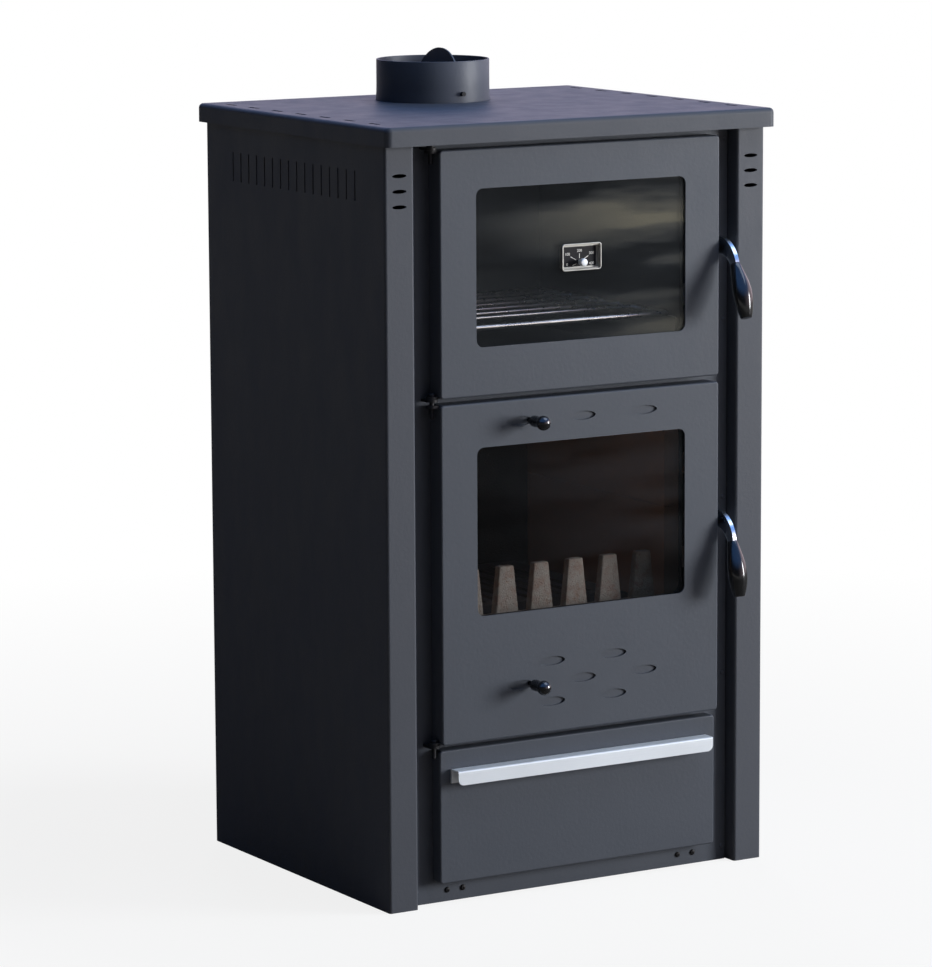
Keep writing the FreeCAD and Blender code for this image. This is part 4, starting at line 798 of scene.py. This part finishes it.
class Bench:
    """Mesh work by operators on one new piece at a time."""

    @staticmethod
    def clear() -> None:
        """Deselects everything."""
        if bpy.context.mode != "OBJECT":
            bpy.ops.object.mode_set(mode="OBJECT")
        bpy.ops.object.select_all(action="DESELECT")

    @staticmethod
    def focus(piece: Piece) -> None:
        """Makes one piece the active one, and the only one selected.

        Args:
            piece: object that the next operators work on.
        """
        Bench.clear()
        piece.select_set(True)
        bpy.context.view_layer.objects.active = piece

    @staticmethod
    @contextmanager
    def editing(piece: Piece, whole: bool = False) -> Iterator[None]:
        """Edit mode on one piece.

        Args:
            piece: object that is worked on.
            whole: whether the work starts with everything picked.

        Returns:
            A context in which the piece is edited.
        """
        Bench.focus(piece)
        bpy.ops.object.mode_set(mode="EDIT")
        bpy.ops.mesh.select_mode(type="VERT")
        bpy.ops.mesh.select_all(action="SELECT" if whole else "DESELECT")
        yield
        bpy.ops.object.mode_set(mode="OBJECT")

    @staticmethod
    def pick_faces(piece: Piece, test: Callable[[Vector, Vector], bool]) -> None:
        """Selects faces only.

        Args:
            piece: object in edit mode.
            test: told a face's middle and normal; true picks it.
        """
        bpy.ops.mesh.select_mode(type="FACE")
        bpy.ops.mesh.select_all(action="DESELECT")
        for face in bmesh.from_edit_mesh(piece.data).faces:
            if test(face.calc_center_median(), face.normal):
                face.select_set(True)
        bmesh.update_edit_mesh(piece.data)

    @staticmethod
    def pick_edges(piece: Piece, test: Callable[[Vector, Vector], bool]) -> None:
        """Selects edges only.

        Args:
            piece: object in edit mode.
            test: told an edge's middle and direction; true picks it.
        """
        bpy.ops.mesh.select_mode(type="EDGE")
        bpy.ops.mesh.select_all(action="DESELECT")
        for edge in bmesh.from_edit_mesh(piece.data).edges:
            start, end = (corner.co for corner in edge.verts)
            if test((start + end) / 2, (end - start).normalized()):
                edge.select_set(True)
        bmesh.update_edit_mesh(piece.data)

    @staticmethod
    def extrude(step: Sequence[float]) -> None:
        """Pulls what is picked out by a step."""
        bpy.ops.mesh.extrude_region_move(TRANSFORM_OT_translate={"value": step})

    @staticmethod
    def resize(shares: Sequence[float], middle: Sequence[float]) -> None:
        """Resizes what is picked about a point."""
        bpy.ops.transform.resize(value=shares, center_override=middle)

    @staticmethod
    def bevel(offset: float, segments: int) -> None:
        """Rounds the picked edges."""
        bpy.ops.mesh.bevel(offset=offset, segments=segments, affect="EDGES")

    @staticmethod
    def divide(point: Sequence[float], normal: Sequence[float]) -> None:
        """Cuts the faces of the piece in edit mode along a plane."""
        bpy.ops.mesh.select_all(action="SELECT")
        bpy.ops.mesh.bisect(plane_co=point, plane_no=normal)

    @staticmethod
    def block(name: str, low: Sequence[float], high: Sequence[float]) -> Piece:
        """Starts a piece from a cube between two corners.

        Args:
            name: the new object's name.
            low: lower corner.
            high: upper corner.

        Returns:
            The new block.
        """
        Bench.clear()
        middle = [(a + b) / 2 for a, b in zip(low, high)]
        bpy.ops.mesh.primitive_cube_add(size=1.0, location=middle)
        piece = bpy.context.object
        piece.name = name
        piece.scale = [b - a for a, b in zip(low, high)]
        bpy.ops.object.transform_apply(location=True, rotation=True, scale=True)
        return piece

    @staticmethod
    def loft(name: str, stations: Sequence[Ring], sides: int) -> Piece:
        """Leads a ring along +Z from station to station, and closes its ends unless it returns to its start.

        Args:
            name: piece's name.
            stations: half widths along X and Y, shift along Y and height of each ring.
            sides: corners of a ring.

        Returns:
            The new piece.
        """
        Bench.clear()
        wide, deep, shift, height = stations[0]
        bpy.ops.mesh.primitive_circle_add(vertices=sides, radius=wide, location=(0.0, shift, height))
        piece = bpy.context.object
        piece.name = name
        bpy.ops.object.transform_apply(location=True, rotation=True, scale=True)
        with Bench.editing(piece, whole=True):
            Bench.resize((1.0, deep / wide, 1.0), (0.0, shift, height))
            for new_wide, new_deep, new_shift, new_height in stations[1:]:
                Bench.extrude((0.0, new_shift - shift, new_height - height))
                Bench.resize((new_wide / wide, new_deep / deep, 1.0), (0.0, new_shift, new_height))
                wide, deep, shift, height = new_wide, new_deep, new_shift, new_height
            if stations[0] == stations[-1]:
                bpy.ops.mesh.select_all(action="SELECT")
                bpy.ops.mesh.remove_doubles(threshold=TOUCH / 5)
            else:
                Bench.cap_ends()
            bpy.ops.mesh.select_all(action="SELECT")
            bpy.ops.mesh.normals_make_consistent(inside=False)
        return piece

    @staticmethod
    def cap_ends() -> None:
        """Closes every open ring of the piece in edit mode."""
        bpy.ops.mesh.select_mode(type="EDGE")
        bpy.ops.mesh.select_all(action="DESELECT")
        bpy.ops.mesh.select_non_manifold()
        bpy.ops.mesh.edge_face_add()

    @staticmethod
    def turned(name: str, profile: Profile, place: Matrix, sides: int, smooth: float) -> Piece:
        """Lathe work about an axis.

        Args:
            name: piece's name.
            profile: radius and height of each station along the axis.
            place: where the axis' foot goes.
            sides: corners of the ring.
            smooth: angle up to which faces are shaded as one.

        Returns:
            The finished piece.
        """
        piece = Bench.loft(name, [(radius, radius, 0.0, height) for radius, height in profile], sides)
        piece.matrix_world = place
        Bench.settle(piece, smooth)
        return piece

    @staticmethod
    def settle(piece: Piece, smooth: float = 32.0) -> None:
        """Applies the piece's place and shades it smooth up to an angle.

        Args:
            piece: object that is worked on.
            smooth: angle in degrees up to which faces are shaded as one.
        """
        Bench.focus(piece)
        bpy.ops.object.transform_apply(location=True, rotation=True, scale=True)
        bpy.ops.object.shade_smooth_by_angle(angle=math.radians(smooth))

    @staticmethod
    def modify(piece: Piece, kind: str, **settings: object) -> None:
        """Adds a modifier and applies it.

        Args:
            piece: object that is worked on.
            kind: modifier type.
            **settings: properties of the modifier.
        """
        Bench.focus(piece)
        modifier = piece.modifiers.new(kind.lower(), kind)
        for name, value in settings.items():
            setattr(modifier, name, value)
        bpy.ops.object.modifier_apply(modifier=modifier.name)

    @staticmethod
    def centre(node: str) -> Vector:
        """Middle of a CAD node's box."""
        low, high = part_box(node)
        return (Vector(low) + Vector(high)) / 2

    @staticmethod
    def copy(model: Piece, name: str, place: Matrix) -> Piece:
        """Puts a copy of a model, with a mesh of its own, at a place.

        Args:
            model: object that is copied.
            name: the new object's name.
            place: matrix that moves the copy's mesh.

        Returns:
            The new object.
        """
        twin = bpy.data.objects.new(name, model.data.copy())
        bpy.context.scene.collection.objects.link(twin)
        twin.data.transform(place)
        return twin

    @staticmethod
    def along(place: Sequence[float], axis: Sequence[float]) -> Matrix:
        """Matrix that puts +Z along an axis at a place."""
        return Matrix.Translation(Vector(place)) @ Vector(axis).to_track_quat("Z", "Y").to_matrix().to_4x4()

    @staticmethod
    def deliver(piece: Piece, body: str, slot: str, finish: Finishes, *nodes: str) -> None:
        """Dresses a finished piece and puts it on its body.

        Args:
            piece: finished object.
            body: CAD body it rides on.
            slot: record slot of its finish; not used.
            finish: what it wears.
            *nodes: CAD nodes it stands for.
        """
        finish.value.wear(piece)
        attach(piece, body)
        if nodes:
            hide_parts(*nodes)
        LOG.info("piece %s on %s", piece.name, body)


@dataclass
class LeverGrips:
    """Leaf-shaped grips on the ends of the two steel levers."""

    doors: Tuple[Tuple[str, float], ...] = (("oven", 0.0), ("fire", 8.0))
    reach: float = 36.9 * MM
    drop: float = 16.1 * MM
    neck: float = 12.6 * MM
    slope: float = 22.0
    sides: int = 10
    ridge_crease: float = 0.75
    ridge_width: float = 8.0 * MM
    stations: Tuple[Ring, ...] = (
        (0.0, 13.0, 9.6, 0.0), (1.2, 14.6, 11.0, -0.2), (8.0, 17.2, 14.4, -1.2),
        (16.0, 19.6, 18.4, -2.1), (25.0, 21.8, 22.0, -2.8), (34.0, 22.8, 23.8, -3.0),
        (43.0, 21.8, 23.2, -2.6), (51.0, 19.2, 20.8, -1.8), (58.0, 15.8, 17.4, -0.8),
        (62.2, 13.0, 14.8, -0.2), (63.4, 11.4, 13.2, 0.0))

    def build(self) -> None:
        """Makes one grip and puts a copy on each lever."""
        model = self.model()
        for door, turn in self.doors:
            grip = Bench.copy(model, door + "_leaf_grip", self.place(door, turn))
            Bench.settle(grip, smooth=40.0)
            Bench.deliver(grip, door + "_handle", "black_grip", Finishes.GRIP, door + "_handle_grip")
        bpy.data.objects.remove(model)

    def model(self) -> Piece:
        """One grip along +Z: a ring led through the stations, capped, creased and rounded.

        Returns:
            The model, which is removed once it is copied.
        """
        rings = [(thickness / 2 * MM, width / 2 * MM, bow * MM, distance * MM)
                 for distance, width, thickness, bow in self.stations]
        grip = Bench.loft("grip_model", rings, self.sides)
        with Bench.editing(grip):
            self.crease_ridges(grip)
        Bench.modify(grip, "SUBSURF", levels=2, render_levels=2)
        return grip

    def crease_ridges(self, grip: Piece) -> None:
        """Sharpens the ridge along the grip's outer side and the rims of its end faces.

        Args:
            grip: grip in edit mode.
        """
        Bench.pick_edges(grip, lambda middle, way: abs(way.z) > 0.5 and self.on_ridge(middle))
        bpy.ops.transform.edge_crease(value=self.ridge_crease)
        near = 0.1 * MM
        last = self.stations[-1][0] * MM - near
        Bench.pick_edges(grip, lambda middle, way: abs(way.z) < 0.1 and not near < middle.z < last)
        bpy.ops.transform.edge_crease(value=1.0)

    def on_ridge(self, middle: Vector) -> bool:
        """True for the line of the grip that faces away from the stove."""
        return middle.y < -self.ridge_width / 2 and abs(middle.x) < self.ridge_width / 2

    def place(self, door: str, turn: float) -> Matrix:
        """Where a grip's root goes: at the lever's end, turned with the lever.

        Args:
            door: "oven" or "fire".
            turn: lever's angle in degrees at rest.

        Returns:
            The grip's matrix.
        """
        axle = Bench.centre(door + "_handle_pivot")
        hub = Vector((Bench.centre(door + "_handle_lever").x, axle.y, axle.z))
        angle = math.radians(self.slope)
        axis = Vector((0.0, -math.sin(angle), -math.cos(angle)))
        across = Vector((0.0, math.cos(angle), -math.sin(angle)))
        side = across.cross(axis)
        corner = hub + Vector((0.0, -self.reach, -self.drop))
        root = corner + across * (self.neck / 2)
        stance = Matrix((side, across, axis)).transposed().to_4x4()
        pivot = Matrix.Translation(hub)
        swing = pivot @ Matrix.Rotation(math.radians(turn), 4, "X") @ pivot.inverted()
        return swing @ Matrix.Translation(root) @ stance


@dataclass
class AirKnobs:
    """Turned knobs of the two air slides: stem, waist and ball."""

    slides: Tuple[str, ...] = ("upper_air", "lower_air")
    ball: float = 8.2 * MM
    ball_steps: int = 16
    tip: float = 0.3 * MM
    profile: Profile = (
        (2.5, 0.0), (2.5, 9.8), (5.4, 10.0), (6.2, 10.5), (6.4, 11.6), (6.4, 15.0), (6.2, 18.0), (5.9, 20.6),
        (5.8, 22.6), (5.85, 24.0))

    def build(self) -> None:
        """Makes one knob and puts a copy on each slide."""
        low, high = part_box(self.slides[0] + "_knob")
        stations = self.stations(high[1] - low[1])
        model = Bench.turned("knob_model", stations, Matrix.Identity(4), sides=40, smooth=38.0)
        for slide in self.slides:
            low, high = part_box(slide + "_knob")
            root = ((low[0] + high[0]) / 2, high[1], (low[2] + high[2]) / 2)
            knob = Bench.copy(model, slide + "_ball_knob", Bench.along(root, (0.0, -1.0, 0.0)))
            Bench.deliver(knob, slide, "black_grip", Finishes.GRIP, slide + "_knob")
        bpy.data.objects.remove(model)

    def stations(self, length: float) -> Profile:
        """Neck stations followed by the ball's, from the slide to the front.

        Args:
            length: knob's length from the slide to the front.

        Returns:
            Radius and height of each station.
        """
        neck = metres(self.profile)
        centre = length - self.ball
        start = math.asin(neck[-1][0] / self.ball)
        ball = []
        for index in range(self.ball_steps):
            angle = start + (math.pi - start) * index / self.ball_steps
            ball.append((self.ball * math.sin(angle), centre - self.ball * math.cos(angle)))
        ball.append((self.tip, length))
        return neck[:-1] + ball


@dataclass
class Thermometer:
    """Bright rim with a black scale, a dark needle and a silver cap."""

    rim: float = 1.5 * MM
    recess: float = 5.5 * MM
    body_inset: float = 2.6 * MM
    rim_depth: float = 1.5 * MM
    rim_corner: float = 3.5 * MM
    rim_round: float = 0.45 * MM
    dial_gap: float = 0.1 * MM
    axis_drop: float = 6.0 * MM
    ticks: Tuple[Tuple[float, float, float], ...] = (
        (-112.0, 5.0, 10.0), (-62.0, 5.0, 13.0), (0.0, 4.0, 9.2), (62.0, 5.0, 13.0), (112.0, 5.0, 10.0))
    numbers: Tuple[Tuple[str, float, float], ...] = (
        ("0", -15.9, -2.4), ("100", -15.6, 9.0), ("200", 0.0, 12.4), ("300", 15.6, 9.0), ("400", 15.9, -2.4))
    number_size: float = 4.4 * MM
    print_lift: float = 0.07 * MM
    ink: float = 0.05 * MM
    tick_width: float = 0.7 * MM
    needle_reach: float = 16.0 * MM
    needle_tail: float = 3.0 * MM
    needle_width: float = 3.2 * MM
    needle_sheet: float = 0.5 * MM
    needle_lift: float = 0.8 * MM
    needle_taper: float = 0.14
    needle_round: float = 0.08 * MM
    needle_angle: float = -100.0
    cap: Profile = (
        (0.7, 0.02), (0.7, 0.5), (2.4, 0.5), (2.4, 6.5), (4.2, 6.6), (4.5, 6.9), (4.5, 9.4), (4.35, 10.0),
        (3.8, 10.4), (2.7, 10.65), (0.6, 10.7))

    def build(self) -> None:
        """Makes every piece of the thermometer."""
        self.build_case()
        self.build_marks()
        self.build_needle()

    def build_case(self) -> None:
        """Rim and body from one block, hollowed from the front."""
        low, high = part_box("thermometer_case")
        front = low[1]
        body_depth = high[1] - front - self.rim_depth
        case = Bench.block("thermometer_rim", low, (high[0], front + self.rim_depth, high[2]))
        with Bench.editing(case):
            Bench.pick_edges(case, lambda middle, way: abs(way.y) > FACING)
            Bench.bevel(self.rim_corner, segments=6)
            Bench.pick_faces(case, lambda middle, normal: normal.y > FACING)
            bpy.ops.mesh.inset(thickness=self.body_inset)
            Bench.extrude((0.0, body_depth, 0.0))
            Bench.pick_faces(case, lambda middle, normal: normal.y < -FACING)
            bpy.ops.mesh.inset(thickness=self.rim)
            Bench.extrude((0.0, self.recess + self.dial_gap, 0.0))
            Bench.pick_edges(case, lambda middle, way: middle.y < front + TOUCH)
            Bench.bevel(self.rim_round, segments=3)
        Bench.settle(case, smooth=35.0)
        Bench.deliver(case, "oven_door", "chrome", Finishes.RIM, "thermometer_case")

    def on_scale(self, across: float, rise: float) -> Vector:
        """Point just in front of the scale, from the needle's axis."""
        return self.axis() + Vector((across, -self.print_lift, rise))

    def axis(self) -> Vector:
        """Where the needle's axis meets the scale."""
        middle = Bench.centre("thermometer_case")
        return Vector((middle.x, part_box("thermometer_case")[0][1] + self.recess, middle.z - self.axis_drop))

    def build_marks(self) -> None:
        """Scale ticks and numbers as one printed layer."""
        marks: List[Piece] = []
        for angle, inner, outer in self.ticks:
            half, thin = self.tick_width / 2, self.ink
            tick = Bench.block("tick", (-half, -thin, inner * MM), (half, thin, outer * MM))
            turn = Matrix.Rotation(math.radians(angle), 4, "Y")
            tick.matrix_world = Matrix.Translation(self.on_scale(0.0, 0.0)) @ turn
            marks.append(tick)
        for text, across, rise in self.numbers:
            marks.append(self.number(text, self.on_scale(across * MM, rise * MM)))
        Bench.clear()
        for mark in marks:
            mark.select_set(True)
        bpy.context.view_layer.objects.active = marks[0]
        bpy.ops.object.transform_apply(location=True, rotation=True, scale=True)
        bpy.ops.object.join()
        layer = bpy.context.object
        layer.name = "thermometer_scale"
        Bench.deliver(layer, "oven_door", "dial", Finishes.INK)

    def number(self, text: str, place: Vector) -> Piece:
        """One number of the scale as a thin mesh.

        Args:
            text: the number.
            place: middle of the number.

        Returns:
            The number's mesh object.
        """
        Bench.clear()
        bpy.ops.object.text_add(location=place, rotation=(math.pi / 2, 0.0, 0.0))
        letters = bpy.context.object
        letters.data.body = text
        letters.data.size = self.number_size
        letters.data.align_x = "CENTER"
        letters.data.align_y = "CENTER"
        letters.data.extrude = self.ink
        letters.data.resolution_u = 4
        bpy.ops.object.convert(target="MESH")
        return bpy.context.object

    def build_needle(self) -> None:
        """Tapered needle on its hub, and the silver cap in front of the rim."""
        axis = self.axis()
        centre = axis + Vector((0.0, -self.needle_lift, 0.0))
        wide, thin = self.needle_width / 2, self.needle_sheet / 2
        needle = Bench.block("thermometer_needle_blade", (-wide, -thin, -self.needle_tail),
                             (wide, thin, self.needle_reach))
        with Bench.editing(needle):
            Bench.pick_faces(needle, lambda middle, normal: normal.z > FACING)
            Bench.resize((self.needle_taper, 1.0, 1.0), (0.0, 0.0, self.needle_reach))
            bpy.ops.mesh.select_mode(type="EDGE")
            bpy.ops.mesh.select_all(action="SELECT")
            Bench.bevel(self.needle_round, segments=2)
        turn = Matrix.Rotation(math.radians(self.needle_angle), 4, "Y")
        needle.matrix_world = Matrix.Translation(centre) @ turn
        Bench.settle(needle)
        Bench.deliver(needle, "thermometer_needle", "dial", Finishes.DIAL)
        place = Bench.along(axis, (0.0, -1.0, 0.0))
        hub = Bench.turned("thermometer_cap", metres(self.cap), place, sides=40, smooth=40.0)
        Bench.deliver(hub, "thermometer_needle", "chrome", Finishes.SATIN, "thermometer_pointer")


@dataclass
class LogGuard:
    """Cast comb behind the fire glass: a bar with drafted teeth."""

    bar_height: float = 12.0 * MM
    rounding: float = 1.4 * MM
    tooth_base: float = 29.6 * MM
    tooth_top: float = 18.5 * MM
    tooth_draft: float = 0.8
    pitch: float = 45.4 * MM
    count: int = 6

    def build(self) -> None:
        """Makes the comb."""
        low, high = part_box("log_guard")
        bar_top = low[2] + self.bar_height
        rise = high[2] - bar_top
        comb = Bench.block("log_guard_comb", low, (high[0], high[1], bar_top))
        places = [(index - (self.count - 1) / 2) * self.pitch for index in range(self.count)]
        with Bench.editing(comb, whole=True):
            for x in places:
                for edge in (x - self.tooth_base / 2, x + self.tooth_base / 2):
                    Bench.divide((edge, 0.0, 0.0), (1.0, 0.0, 0.0))
            for x in places:
                near = self.tooth_base / 2
                Bench.pick_faces(comb, lambda middle, normal: normal.z > FACING and abs(middle.x - x) < near
                                 and abs(middle.z - bar_top) < TOUCH)
                Bench.extrude((0.0, 0.0, rise))
                share = self.tooth_top / self.tooth_base
                tip = (x, (low[1] + high[1]) / 2, high[2])
                Bench.resize((share, self.tooth_draft, 1.0), tip)
            bpy.ops.mesh.select_all(action="SELECT")
        Bench.modify(comb, "BEVEL", width=self.rounding, segments=3, limit_method="ANGLE",
                     angle_limit=math.radians(40.0))
        Bench.settle(comb, smooth=50.0)
        Bench.deliver(comb, "casing", "cast_iron", Finishes.ASHY_IRON, "log_guard")


@dataclass
class FlueCollar:
    """Rolled collar: foot, straight spigot and a plain rim, turned as one ring."""

    profile: Profile = (
        (63.0, 0.0), (65.8, 0.0), (65.8, 4.0), (65.2, 12.0), (65.0, 20.0), (65.0, 49.2), (64.8, 49.8),
        (64.4, 50.0), (63.6, 50.0), (63.2, 49.8), (63.0, 49.2), (63.0, 0.0))

    def build(self) -> None:
        """Makes the collar."""
        middle = Bench.centre("flue_collar")
        place = Matrix.Translation((middle.x, middle.y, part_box("flue_collar")[0][2]))
        collar = Bench.turned("flue_collar_ring", metres(self.profile), place, sides=128, smooth=30.0)
        Bench.deliver(collar, "casing", "casing_paint", Finishes.COLLAR, "flue_collar")


class Recess(Enum):
    """What a fastener's head carries."""

    CROSS = "cross"
    NONE = "none"


@dataclass
class Fasteners:
    """One set of equal round-headed fasteners in columns and rows on a flat face."""

    node: str
    head_radius: float
    head_height: float
    shank_radius: float
    facing: float
    insets: Tuple[float, ...]
    rows: int
    recess: Recess
    finish: Finishes
    slot: str
    slot_width: float = 0.22
    slot_depth: float = 0.55
    slot_reach: float = 0.5
    clearance: float = 1.0 * MM
    tip_share: float = 0.9
    tip_length: float = 0.4 * MM
    dome: Profile = ((0.97, 0.0), (1.0, 0.08), (1.0, 0.25), (0.95, 0.5), (0.82, 0.74), (0.6, 0.91),
                     (0.3, 0.985), (0.08, 1.0))
    first_turn: float = 0.3
    next_turn: float = 1.1
    decimals: int = 4

    def build(self) -> None:
        """Makes one fastener and puts a copy at each place."""
        model = self.model()
        low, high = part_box(self.node)
        face = high[1] - self.head_height if self.facing > 0 else low[1] + self.head_height
        first, last = low[2] + self.head_radius, high[2] - self.head_radius
        count = 0
        for x in self.columns():
            for row in range(self.rows):
                level = first + (last - first) * row / max(1, self.rows - 1)
                spin = Matrix.Rotation(self.next_turn * count + self.first_turn, 4, "Z")
                place = Bench.along((x, face, level), (0.0, self.facing, 0.0)) @ spin
                screw = Bench.copy(model, "%s_%d" % (self.node, count), place)
                Bench.deliver(screw, "casing", self.slot, self.finish, *((self.node,) if count == 0 else ()))
                count += 1
        bpy.data.objects.remove(model)

    def columns(self) -> List[float]:
        """Places along X from the node's box, rounded because its facets make the box a little small.

        Returns:
            The columns from left to right.
        """
        low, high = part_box(self.node)
        left, right = low[0] + self.head_radius, high[0] - self.head_radius
        places = [left + inset for inset in self.insets] + [right - inset for inset in self.insets[::-1]]
        return [round(place, self.decimals) for place in places]

    def model(self) -> Piece:
        """One fastener on +Z with its head's underside at zero.

        Returns:
            The model, which is removed once it is copied.
        """
        low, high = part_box(self.node)
        length = high[1] - low[1] - self.head_height
        shank = [(self.shank_radius * self.tip_share, -length), (self.shank_radius, self.tip_length - length),
                 (self.shank_radius, 0.0)]
        head = [(self.head_radius * across, self.head_height * rise) for across, rise in self.dome]
        screw = Bench.turned(self.node + "_model", shank + head, Matrix.Identity(4), sides=28, smooth=40.0)
        if self.recess is Recess.CROSS:
            self.cut_cross(screw)
        return screw

    def cut_cross(self, screw: Piece) -> None:
        """Cuts a cross recess into the head.

        Args:
            screw: the model fastener.
        """
        half = self.head_radius * self.slot_reach
        thin = self.head_radius * self.slot_width / 2
        low = self.head_height * (1.0 - self.slot_depth)
        high = self.head_height + self.clearance
        for x, y in ((half, thin), (thin, half)):
            cutter = Bench.block("cutter", (-x, -y, low), (x, y, high))
            Bench.modify(screw, "BOOLEAN", operation="DIFFERENCE", object=cutter, solver="EXACT")
            bpy.data.objects.remove(cutter)


FASTENER_SETS: Tuple[Fasteners, ...] = (
    Fasteners("plinth_screws", head_radius=3.3 * MM, head_height=2.0 * MM, shank_radius=2.0 * MM, facing=-1.0,
              insets=(0.0, 20.0 * MM), rows=1, recess=Recess.CROSS, finish=Finishes.OXIDE, slot="zinc_steel"),
    Fasteners("back_screws", head_radius=4.0 * MM, head_height=2.0 * MM, shank_radius=2.0 * MM, facing=1.0,
              insets=(0.0,), rows=4, recess=Recess.CROSS, finish=Finishes.ZINC, slot="zinc_steel"),
    Fasteners("frame_rivets", head_radius=2.6 * MM, head_height=1.2 * MM, shank_radius=1.6 * MM, facing=-1.0,
              insets=(0.0,), rows=5, recess=Recess.NONE, finish=Finishes.FRONT, slot="front_paint"),
)


@dataclass
class DrawerBar:
    """Folded channel along the drawer, open below, with rounded bends and lip corners."""

    sheet: float = 2.0 * MM
    bend: float = 3.0 * MM
    lip_corner: float = 7.0 * MM

    def build(self) -> None:
        """Makes the channel from its top strip."""
        low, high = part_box("drawer_handle")
        bar = Bench.block("drawer_bar", (low[0], low[1], high[2] - self.sheet), high)
        drop = low[2] - (high[2] - self.sheet)
        with Bench.editing(bar, whole=True):
            for line in (low[1] + self.sheet, high[1] - self.sheet):
                Bench.divide((0.0, line, 0.0), (0.0, 1.0, 0.0))
            Bench.pick_faces(bar, lambda middle, normal: normal.z < -FACING and not
                             low[1] + self.sheet < middle.y < high[1] - self.sheet)
            Bench.extrude((0.0, 0.0, drop))
            self.round_edges(bar, low, high)
        Bench.settle(bar, smooth=40.0)
        Bench.deliver(bar, "drawer", "bright_steel", Finishes.BRUSHED, "drawer_handle")

    def round_edges(self, bar: Piece, low: Sequence[float], high: Sequence[float]) -> None:
        """Rounds the two outer bends and the lower corners of the front lip.

        Args:
            bar: the channel in edit mode.
            low: lower corner of the channel's box.
            high: upper corner of the channel's box.
        """
        Bench.pick_edges(bar, lambda middle, way: abs(way.x) > FACING and middle.z > high[2] - TOUCH
                         and min(middle.y - low[1], high[1] - middle.y) < TOUCH)
        Bench.bevel(self.bend, segments=6)
        lip = low[1] + self.sheet
        Bench.pick_edges(bar, lambda middle, way: abs(way.y) > FACING and middle.z < low[2] + TOUCH
                         and middle.y < lip)
        Bench.bevel(self.lip_corner, segments=8)


def dress_nodes() -> None:
    """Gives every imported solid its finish."""
    for finish, nodes in NODE_FINISHES.items():
        for node in nodes:
            finish.value.wear(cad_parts[node])
            LOG.info("node %s wears %s", node, finish.value.name)


def main() -> None:
    """Builds the stage, the finishes and the fine pieces."""
    logging.basicConfig(level=logging.INFO, format="%(message)s")
    Bench.clear()
    Studio().build()
    dress_nodes()
    assemblies = (LeverGrips(), AirKnobs(), Thermometer(), LogGuard(), FlueCollar(), DrawerBar())
    for assembly in assemblies + FASTENER_SETS:
        assembly.build()
    Bench.clear()


if __name__ == "__main__":
    main()
